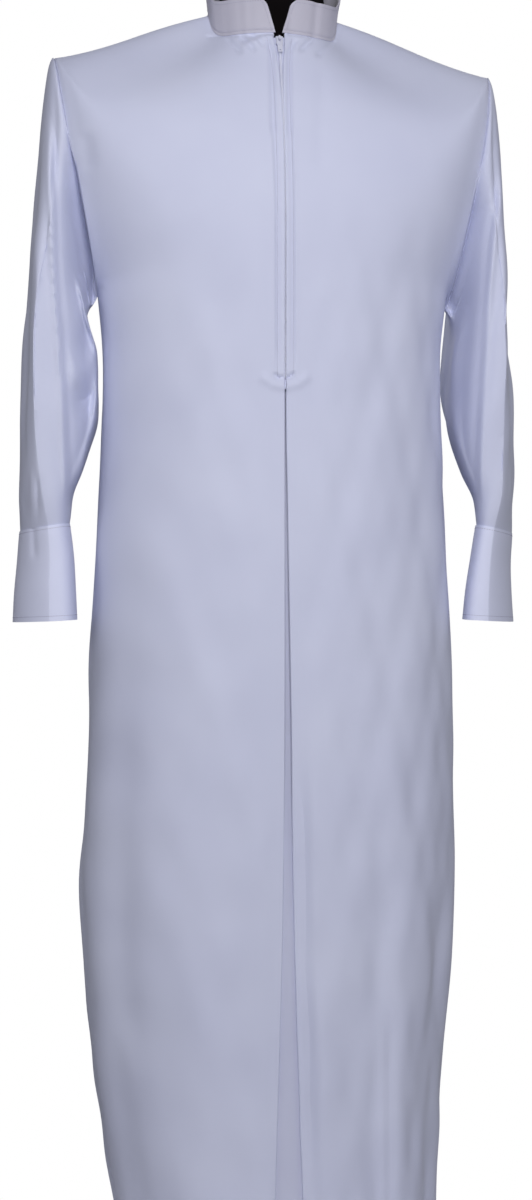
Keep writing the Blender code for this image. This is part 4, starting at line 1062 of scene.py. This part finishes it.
underlay_depths = (UNDERLAY_DEPTH, UNDERLAY_DEPTH + CLOTH)
underlay_place = (UNDERLAY_TOP_Z, HEM_Z - 1, UNDERLAY_HALF_WIDTH)
underlay = add_wall(
    "pleat_underlay_cloth", *strip_grids(*underlay_place, underlay_depths, UNDERLAY_COLUMNS, SUNK)
)
dress(underlay, "pleat_underlay", underlay_twill_painted_shade)
print("underlay:", len(underlay.data.polygons), "faces")

# %% [markdown]
# ## Rings round a sleeve
# A hanging sleeve is flatter in front and has a soft ridge, so its section is no circle. It could be
# a pipe shaped with a lattice. Here each ring bends an ellipse: its cosine and sine are raised to
# powers read from the table, which also slide the ridge across the sleeve.


# %% Rings round a sleeve
def loop_value(table, column, place):
    return float(read_between(range(len(table)), [getattr(loop, column) for loop in table], place))


def tube_ring(table, side, place, angles):
    """Points round a sleeve or cuff, at a place between the rows of its table."""
    word = SIDE_NAMES[side]
    out_x, in_x = (loop_value(table, f"{end}_{word}", place) for end in ("out", "in"))
    out_z, in_z = (loop_value(table, f"{end}_z", place) for end in ("out", "in"))
    middle_y, deep, crease, swing = (
        loop_value(table, column, place)
        for column in ("middle_y", "deep", "crease", "swing_" + word)
    )
    turned = np.radians(angles)
    outside, front = np.cos(turned) > 0, np.sin(turned) > 0
    facing = crease * (front & ~outside)
    head = max(0.0, 1 - place / SLEEVE_HEAD_LOOPS) if table is SLEEVE else 0.0
    power = 1 + crease - np.where(outside, head * (1 - ARMHOLE_STEEP), 0)
    power = power - facing * (1 + FACING_ACROSS)
    across = np.sign(np.cos(turned)) * np.abs(np.cos(turned)) ** power
    forward = np.sign(np.sin(turned)) * np.abs(np.sin(turned)) ** (1 - facing * FACING_FORWARD)
    ridge = (out_x + in_x) / 2 + swing * np.where(front, 1, -BACK_SWING)
    x = ridge + np.where(outside, out_x - ridge, ridge - in_x) * across
    height = across if head == 0 else np.cos(turned)
    z = (out_z + in_z) / 2 + (out_z - in_z) / 2 * height
    skew = SLEEVE_SKEW[side] * (ease((place - SKEW_FROM) / SKEW_LOOPS) if table is SLEEVE else 1)
    x = x + skew * forward
    return np.stack([side * x, middle_y - deep * forward, z], axis=1)


around_head = tube_ring(SLEEVE, LEFT, 0, np.arange(0, 360, 90))
print("the sleeve's head is", round(np.ptp(around_head[:, 2])), "mm from top to underarm")

# %% [markdown]
# ## Folds, creases and the tuck at a seam
# Long soft folds turn round a sleeve on its way down. Twisting the tube would turn all of it, so
# each fold has its own angle at the top, the middle and the end. The photograph's creases are
# pressed in next. Last, a sleeve's two ends and a cuff's upper edge are drawn in a little, as a seam
# draws cloth in.

# %% Sleeve surfaces
SLEEVE_SIDES, FOLD_ENDS, HEAD_HOLD, CUFF_HOLD = 168, 4, 12, 16
WAVES, WAVES_CALM_Z = 0.8, 1420
SLEEVE_OUT, TUCK_IN, TUCK_SHRINK, SOFTER = 0.25, 0.6, 0.012, 0.6
TUCKS = [1, 0.62, 0.33, 0.14, 0.04]


def sleeve_fold_height(place, angles):
    height = np.zeros(len(angles))
    for fold in SLEEVE_FOLDS:
        share = (place - fold.from_loop) / (fold.to_loop - fold.from_loop)
        if 0 < share < 1:
            angles_down = (fold.top_angle, fold.middle_angle, fold.low_angle)
            angle = np.interp(share, (0, 0.5, 1), angles_down)
            away = (angles - angle + 180) % 360 - 180
            strength = ease(share * FOLD_ENDS) * ease((1 - share) * FOLD_ENDS)
            height += fold.depth * strength * np.exp(-((away / fold.width) ** 2))
    return height


def tube_surface(table, side, steps, piece):
    """The outer surface of a tube and its normals, with its folds and creases."""
    places = np.linspace(0, len(table) - 1, (len(table) - 1) * steps + 1)
    angles = np.arange(SLEEVE_SIDES) * 360 / SLEEVE_SIDES
    points = np.array([tube_ring(table, side, place, angles) for place in places])
    if table is SLEEVE:
        normals = normals_of(points, side, around=True)
        height = np.array([sleeve_fold_height(place, angles) for place in places])
        height = height * (1 - SOFTER * np.clip(normals @ TOWARD, 0, 1))
        points = points + height[:, :, None] * normals
    normals = normals_of(points, side, around=True)
    pressed = crease_height(piece, lean(points), normals)
    if table is SLEEVE:
        share = places / (len(table) - 1)
        strength = (ease(share * HEAD_HOLD) * ease((1 - share) * CUFF_HOLD))[:, None]
        pressed = pressed * strength
        waves = WAVES * ripple(*np.moveaxis(points, 2, 0), calm_above=WAVES_CALM_Z) * strength
        points = points + waves[:, :, None] * normals
    points = points + pressed[:, :, None] * TOWARD
    for i, share in enumerate(TUCKS):
        ends = (i, -1 - i) if table is SLEEVE else (i,)
        for row in ends:
            middle = points[row].mean(axis=0)
            points[row] += (middle - points[row]) * TUCK_SHRINK * share
        if table is SLEEVE:
            points[i, :, 0] -= side * TUCK_IN * share
        else:
            points[i, :, 2] += TUCK_IN * share
    points[:, :, 0] += side * SLEEVE_OUT
    return points, normals_of(points, side, around=True)


print("each ring of a sleeve has", SLEEVE_SIDES, "points;", len(TUCKS), "rings tuck in at a seam")

# %% [markdown]
# ## Sleeves and cuffs
# A set-in sleeve is sewn round the armhole, and a cuff round its end. Cutting both from one tube
# would lose the step where the stiffer cuff begins. So each is a wall of its own, from its own
# table, and the same loop makes the right and left ones.

# %% Sleeves and cuffs
LOOP_STEPS = 12
TUBES = (("sleeve", SLEEVE, CLOTH, white_twill), ("cuff", CUFF, STIFFENED, cuff_twill_painted_light))
tubes = {}
for side in (RIGHT, LEFT):
    word = SIDE_NAMES[side]
    for kind, table, thick, paint in TUBES:
        name = f"{kind}_{word}"
        points, normals = tube_surface(table, side, LOOP_STEPS, name)
        tubes[name] = points, normals
        piece = add_wall(name + "_cloth", points, points - thick * normals, around=True)
        dress(piece, name, paint)
print("sleeves and cuffs:", sum(len(t[0]) * SLEEVE_SIDES for t in tubes.values()), "points")

# %% [markdown]
# ## Lines round the collar
# The stand collar is a stiffened band on the neck seam. It flares a little, and its front corners
# are quarter rounds. It could be a ring cut open, but then its foot would not follow the seam. So
# each of its lines is the neck seam itself, moved up and out.

# %% Lines round the collar
COLLAR_COLUMNS, COLLAR_RISES, COLLAR_ROLL = 90, 20, 0.8
EDGE_ROW, EDGE_GROOVE, BASE_RISES = 3.0, 0.7, (0.03, 0.055, 0.08, 0.1, 0.12)


def collar_edge(rise):
    turned = max(0.0, 1 - (1 - rise) * COLLAR_HEIGHT / COLLAR_CORNER)
    corner = COLLAR_CORNER * (1 - math.sqrt(1 - turned**2))
    return COLLAR_EDGE + COLLAR_SLANT * rise + corner


def neck_half(side):
    """Half the neck seam, from the centre front to the centre back, with lengths along it."""
    front, behind = quarters[side, True], quarters[side, False]
    total = front.length[0] + behind.length[0]
    seam = np.concatenate([front.points[0], behind.points[0][-2::-1]])
    along = np.concatenate([front.along[0], total - behind.along[0][-2::-1]])
    return seam, along, total


def stand_up(seam, rise, inward):
    away = seam * [1, 1, 0]
    away = away / np.linalg.norm(away, axis=1, keepdims=True)
    roll = COLLAR_ROLL * math.sin(math.pi * rise)
    groove = EDGE_GROOVE * math.exp(-((rise * COLLAR_HEIGHT - EDGE_ROW) ** 2)) if inward == 0 else 0
    out = COLLAR_STEP + COLLAR_FLARE * rise - roll - inward - groove
    return seam + away * out + [0, 0, COLLAR_GAP + COLLAR_HEIGHT * rise]


def collar_line(side, rise, places_from=0.0, count=COLLAR_COLUMNS, inward=0.0):
    seam, along, total = neck_half(side)
    places = np.linspace(collar_edge(rise) + places_from, total, count + 1)
    line = np.stack([np.interp(places, along, seam[:, k]) for k in range(3)], axis=1)
    return stand_up(line, rise, inward)


print("half the neck seam is", round(neck_half(LEFT)[2]), "mm long")

# %% [markdown]
# ## Collar
# The collar's stitches pull a narrow groove just above its foot, and its top edge rolls over. Even
# steps would miss the groove and show facets, so the rows of this wall are closest at the top and
# again at the foot.

# %% Collar
collar_grids = []
rises = sorted([*np.sin(np.linspace(0, math.pi / 2, COLLAR_RISES)), *BASE_RISES], reverse=True)
for inward in (0, STIFFENED):
    grid = []
    for rise in [*rises, -COLLAR_GAP / COLLAR_HEIGHT]:
        halves = {side: collar_line(side, rise, inward=inward) for side in (RIGHT, LEFT)}
        grid.append(np.concatenate([halves[RIGHT][:-1], halves[LEFT][::-1]]))
    collar_grids.append(np.array(grid))
collar = add_wall("collar_cloth", *collar_grids)
dress(collar, "collar", collar_twill_painted_shade)
print("collar:", len(collar.data.polygons), "faces")

# %% [markdown]
# ## A tool that lays beads
# Stitches and zip teeth are small beads in a row. An Array modifier on a curve could lay them, but
# it bends each bead. A Geometry Nodes tool spaces points along a line, sets a bead on each, turned
# with the line, and realises them into a plain mesh.

# %% Bead tool
BEAD_SIDES, BEAD_RINGS, BEAD_RADIUS = 6, 5, 0.5


def bead_tool(name, size):
    """A node group that lays a rounded bead along a line, one at each pitch."""
    group = bpy.data.node_groups.new(name, "GeometryNodeTree")
    faces = group.interface
    faces.new_socket("Line", in_out="INPUT", socket_type="NodeSocketGeometry")
    pitch = faces.new_socket("Pitch", in_out="INPUT", socket_type="NodeSocketFloat")
    paint = faces.new_socket("Material", in_out="INPUT", socket_type="NodeSocketMaterial")
    faces.new_socket("Beads", in_out="OUTPUT", socket_type="NodeSocketGeometry")
    start = add_node(group, "NodeGroupInput")
    curve = add_node(group, "GeometryNodeMeshToCurve", {"Mesh": start.outputs["Line"]})
    spaced = add_node(
        group, "GeometryNodeCurveToPoints",
        {"Curve": curve.outputs["Curve"], "Length": start.outputs["Pitch"]}, mode="LENGTH",
    )
    bead = add_node(
        group, "GeometryNodeMeshUVSphere",
        {"Segments": BEAD_SIDES, "Rings": BEAD_RINGS, "Radius": BEAD_RADIUS * MM},
    )
    laid = add_node(
        group, "GeometryNodeInstanceOnPoints",
        {"Points": spaced.outputs["Points"], "Instance": bead.outputs["Mesh"],
         "Rotation": spaced.outputs["Rotation"], "Scale": size},
    )
    real = add_node(group, "GeometryNodeRealizeInstances", {"Geometry": laid.outputs["Instances"]})
    smooth = add_node(group, "GeometryNodeSetShadeSmooth", {"Geometry": real.outputs["Geometry"]})
    painted = add_node(
        group, "GeometryNodeSetMaterial",
        {"Geometry": smooth.outputs[0], "Material": start.outputs["Material"]},
    )
    add_node(group, "NodeGroupOutput", {"Beads": painted.outputs["Geometry"]})
    return group, pitch.identifier, paint.identifier


def add_beads(name, lines, tool, pitch, paint, body):
    """Runs a bead tool along lines of points in millimetres, and keeps the plain mesh."""
    group, pitch_socket, paint_socket = tool
    points, edges = [], []
    for line in lines:
        edges += [(len(points) + i, len(points) + i + 1) for i in range(len(line) - 1)]
        points += [tuple(point) for point in lean(line) * MM]
    mesh = bpy.data.meshes.new(name + "_line")
    mesh.from_pydata(points, edges, [])
    guide = bpy.data.objects.new(name + "_line", mesh)
    bpy.context.scene.collection.objects.link(guide)
    made = guide.modifiers.new("beads", "NODES")
    made.node_group = group
    made[pitch_socket] = pitch * MM
    made[paint_socket] = paint
    guide.update_tag()
    graph = bpy.context.evaluated_depsgraph_get()
    result = bpy.data.meshes.new_from_object(guide.evaluated_get(graph), depsgraph=graph)
    result.name = name
    bpy.data.objects.remove(guide)
    if not result.materials:
        result.materials.append(paint)
    piece = bpy.data.objects.new(name, result)
    bpy.context.scene.collection.objects.link(piece)
    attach(piece, body)
    return piece


print("a bead has", BEAD_SIDES * BEAD_RINGS, "faces")

# %% [markdown]
# ## Stitching beside the zip
# Two rows of topstitching hold the tape behind the folded edges, and meet in a curve under the
# zip's end. Painted dashes would not catch the light, so each stitch is a spindle of thread that
# stands a little proud of the cloth.

# %% Stitching beside the zip
STITCH_PITCH, STITCH_LENGTH, STITCH_THICK, PROUD = 2.8, 2.0, 0.55, 0.05
ZIP_STITCH_PLACE, ZIP_STITCH_END, ZIP_CURVE, CURVE_POINTS = 8.0, 3, 7, 9
stitches = bead_tool("topstitch", (STITCH_THICK, STITCH_THICK, STITCH_LENGTH))


def front_line(side, from_gap, top_z, low_z):
    """A line on a front at a distance from its folded edge, between two heights."""
    quarter = quarters[side, True]
    line = []
    for i, z in enumerate(row_heights):
        if low_z <= z <= top_z:
            place = front_gap(side, z) + from_gap
            line.append(quarter.at(i, [place], [-PROUD])[0])
    return np.array(line)


zip_lines = [
    front_line(side, ZIP_STITCH_PLACE, ZIP_TOP_Z - ZIP_STITCH_END, ZIP_END_Z + ZIP_STITCH_END)
    for side in (RIGHT, LEFT)
]
start, end = (line[-1] for line in zip_lines)
curve_down = [
    start + (end - start) * t + np.array([0, 0, -ZIP_CURVE * math.sin(math.pi * t)])
    for t in np.linspace(0, 1, CURVE_POINTS)
]
zip_lines.append(np.array(curve_down))
add_beads("zip_topstitch", zip_lines, stitches, STITCH_PITCH, thread, BODY)
print("stitched beside the zip along", len(zip_lines), "lines")

# %% [markdown]
# ## Stitching of the collar and cuffs
# A collar and cuffs are two layers turned inside out and stitched flat near their edges. A groove
# alone would look pressed and not sewn, so the same stitches run round both ends of each cuff,
# round the collar's rim and along its foot.

# %% Stitching of the collar and cuffs
RIM_PLACE, FOOT_PLACE, RIM_LOW, RIM_TOP = 3.5, 2, 0.05, 0.9
RIM_POINTS, LINE_POINTS = 16, 80
edge_lines = []
for side in (RIGHT, LEFT):
    rim = [
        collar_line(side, rise, places_from=RIM_PLACE, count=1)[0]
        for rise in np.linspace(RIM_LOW, RIM_TOP, RIM_POINTS)
    ]
    top = collar_line(side, RIM_TOP, places_from=RIM_PLACE, count=LINE_POINTS)
    edge_lines.append(np.concatenate([np.array(rim)[:-1], top]))
    foot = EDGE_ROW / COLLAR_HEIGHT
    edge_lines.append(collar_line(side, foot, places_from=FOOT_PLACE, count=LINE_POINTS))
add_beads("collar_topstitch", edge_lines, stitches, STITCH_PITCH, thread, BODY)

cuff_lines = []
for side in (RIGHT, LEFT):
    points, normals = tubes["cuff_" + SIDE_NAMES[side]]
    for row in (1, len(points) - 3):
        line = points[row] + PROUD * normals[row]
        cuff_lines.append(np.concatenate([line, line[:1]]))
add_beads("cuff_topstitch", cuff_lines, stitches, STITCH_PITCH, thread, BODY)

# %% [markdown]
# ## Zip coil
# A coil zip's teeth are loops of moulded plastic that alternate from side to side. A bump texture
# would be flat from the side, and a modelled spiral would be far too heavy. Two rows of beads, one
# half a pitch below the other, read as a closed coil.

# %% Zip coil
TOOTH_PITCH, TOOTH_SIZE, TOOTH_OFFSET, CHAIN_DEPTH = 1.5, (2.4, 1.3, 0.85), 0.6, 0.6
SLIDER_LOW_Z = 1442
teeth = bead_tool("zip_coil", TOOTH_SIZE)
coil_lines = []
for side in (RIGHT, LEFT):
    quarter = quarters[side, True]
    line = [
        quarter.at(i, [TOOTH_OFFSET], [CHAIN_DEPTH])[0]
        for i, z in enumerate(row_heights)
        if ZIP_END_Z + 1 <= z <= SLIDER_LOW_Z
    ]
    shift = 0 if side == RIGHT else TOOTH_PITCH / 2
    coil_lines.append(np.array(line) - [0, 0, shift])
coil = add_beads("zip_coil", coil_lines, teeth, TOOTH_PITCH, coil_plastic_painted_light, BODY)
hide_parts("zip_chain")
print("teeth:", len(coil.data.polygons) // (BEAD_SIDES * BEAD_RINGS))

# %% [markdown]
# ## Zip tape, slider and pull
# The coil is woven to two tapes that are sewn behind the fronts. One strip stands for both, because
# the coil hides the line between them, and it is laid with the underlay's own function, so it
# curves with the fronts. The cast slider and pull keep their frame's shapes under white enamel.

# %% Zip tape, slider and pull
TAPE_HALF_WIDTH, TAPE_DEPTHS, TAPE_COLUMNS, TAPE_END = 13, (3.4, 4.2), 6, 14


def repaint(node, paint):
    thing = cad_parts[node]
    thing.data.materials.clear()
    thing.data.materials.append(paint)


tape_place = (ZIP_TOP_Z, ZIP_END_Z - TAPE_END, TAPE_HALF_WIDTH)
tape = add_wall("zip_tape_cloth", *strip_grids(*tape_place, TAPE_DEPTHS, TAPE_COLUMNS))
dress(tape, "zip_tape", tape_weave_painted_light)
for node in ("zip_slider", "zip_pull"):
    repaint(node, white_enamel)
print("tape:", len(tape.data.polygons), "faces")

# %% [markdown]
# ## Form and stand
# A dress form is a padded torso with jersey drawn over it, on a powder-coated steel stand. A new
# torso could be sculpted, but hardly any of it shows. So the frame's mesh is copied, its doubled
# points are merged, and it is shaded smooth. The pole and base only need their paint.

# %% Form and stand
WELD = 0.00005
torso_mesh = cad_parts["form_torso"].data.copy()
torso_mesh.name = "form_torso_cover"
torso_shape = bmesh.new()
torso_shape.from_mesh(torso_mesh)
bmesh.ops.remove_doubles(torso_shape, verts=torso_shape.verts, dist=WELD)
torso_shape.to_mesh(torso_mesh)
torso_shape.free()
cover = bpy.data.objects.new("form_torso_cover", torso_mesh)
bpy.context.scene.collection.objects.link(cover)
cover.data.materials.clear()
cover.data.materials.append(black_jersey)
cover.data.shade_smooth()
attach(cover, BODY)
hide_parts("form_torso")
for node in ("stand_pole", "stand_base"):
    repaint(node, black_powder)
print("form:", len(cover.data.polygons), "faces")

# %% [markdown]
# ## Box sizes at the finish
# Finer cloth could easily grow past its frame. Looking would not show a millimetre, so the sizes
# of the box round the frame and of the box round the dressed model are both printed.

# %% Finish
dressed_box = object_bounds()
boxes = [[[float(v) for v in corner] for corner in box] for box in (cad_box, dressed_box)]
for name, box in zip(("cad", "dressed"), boxes):
    print(name, [round(high - low, 4) for low, high in zip(*box)])
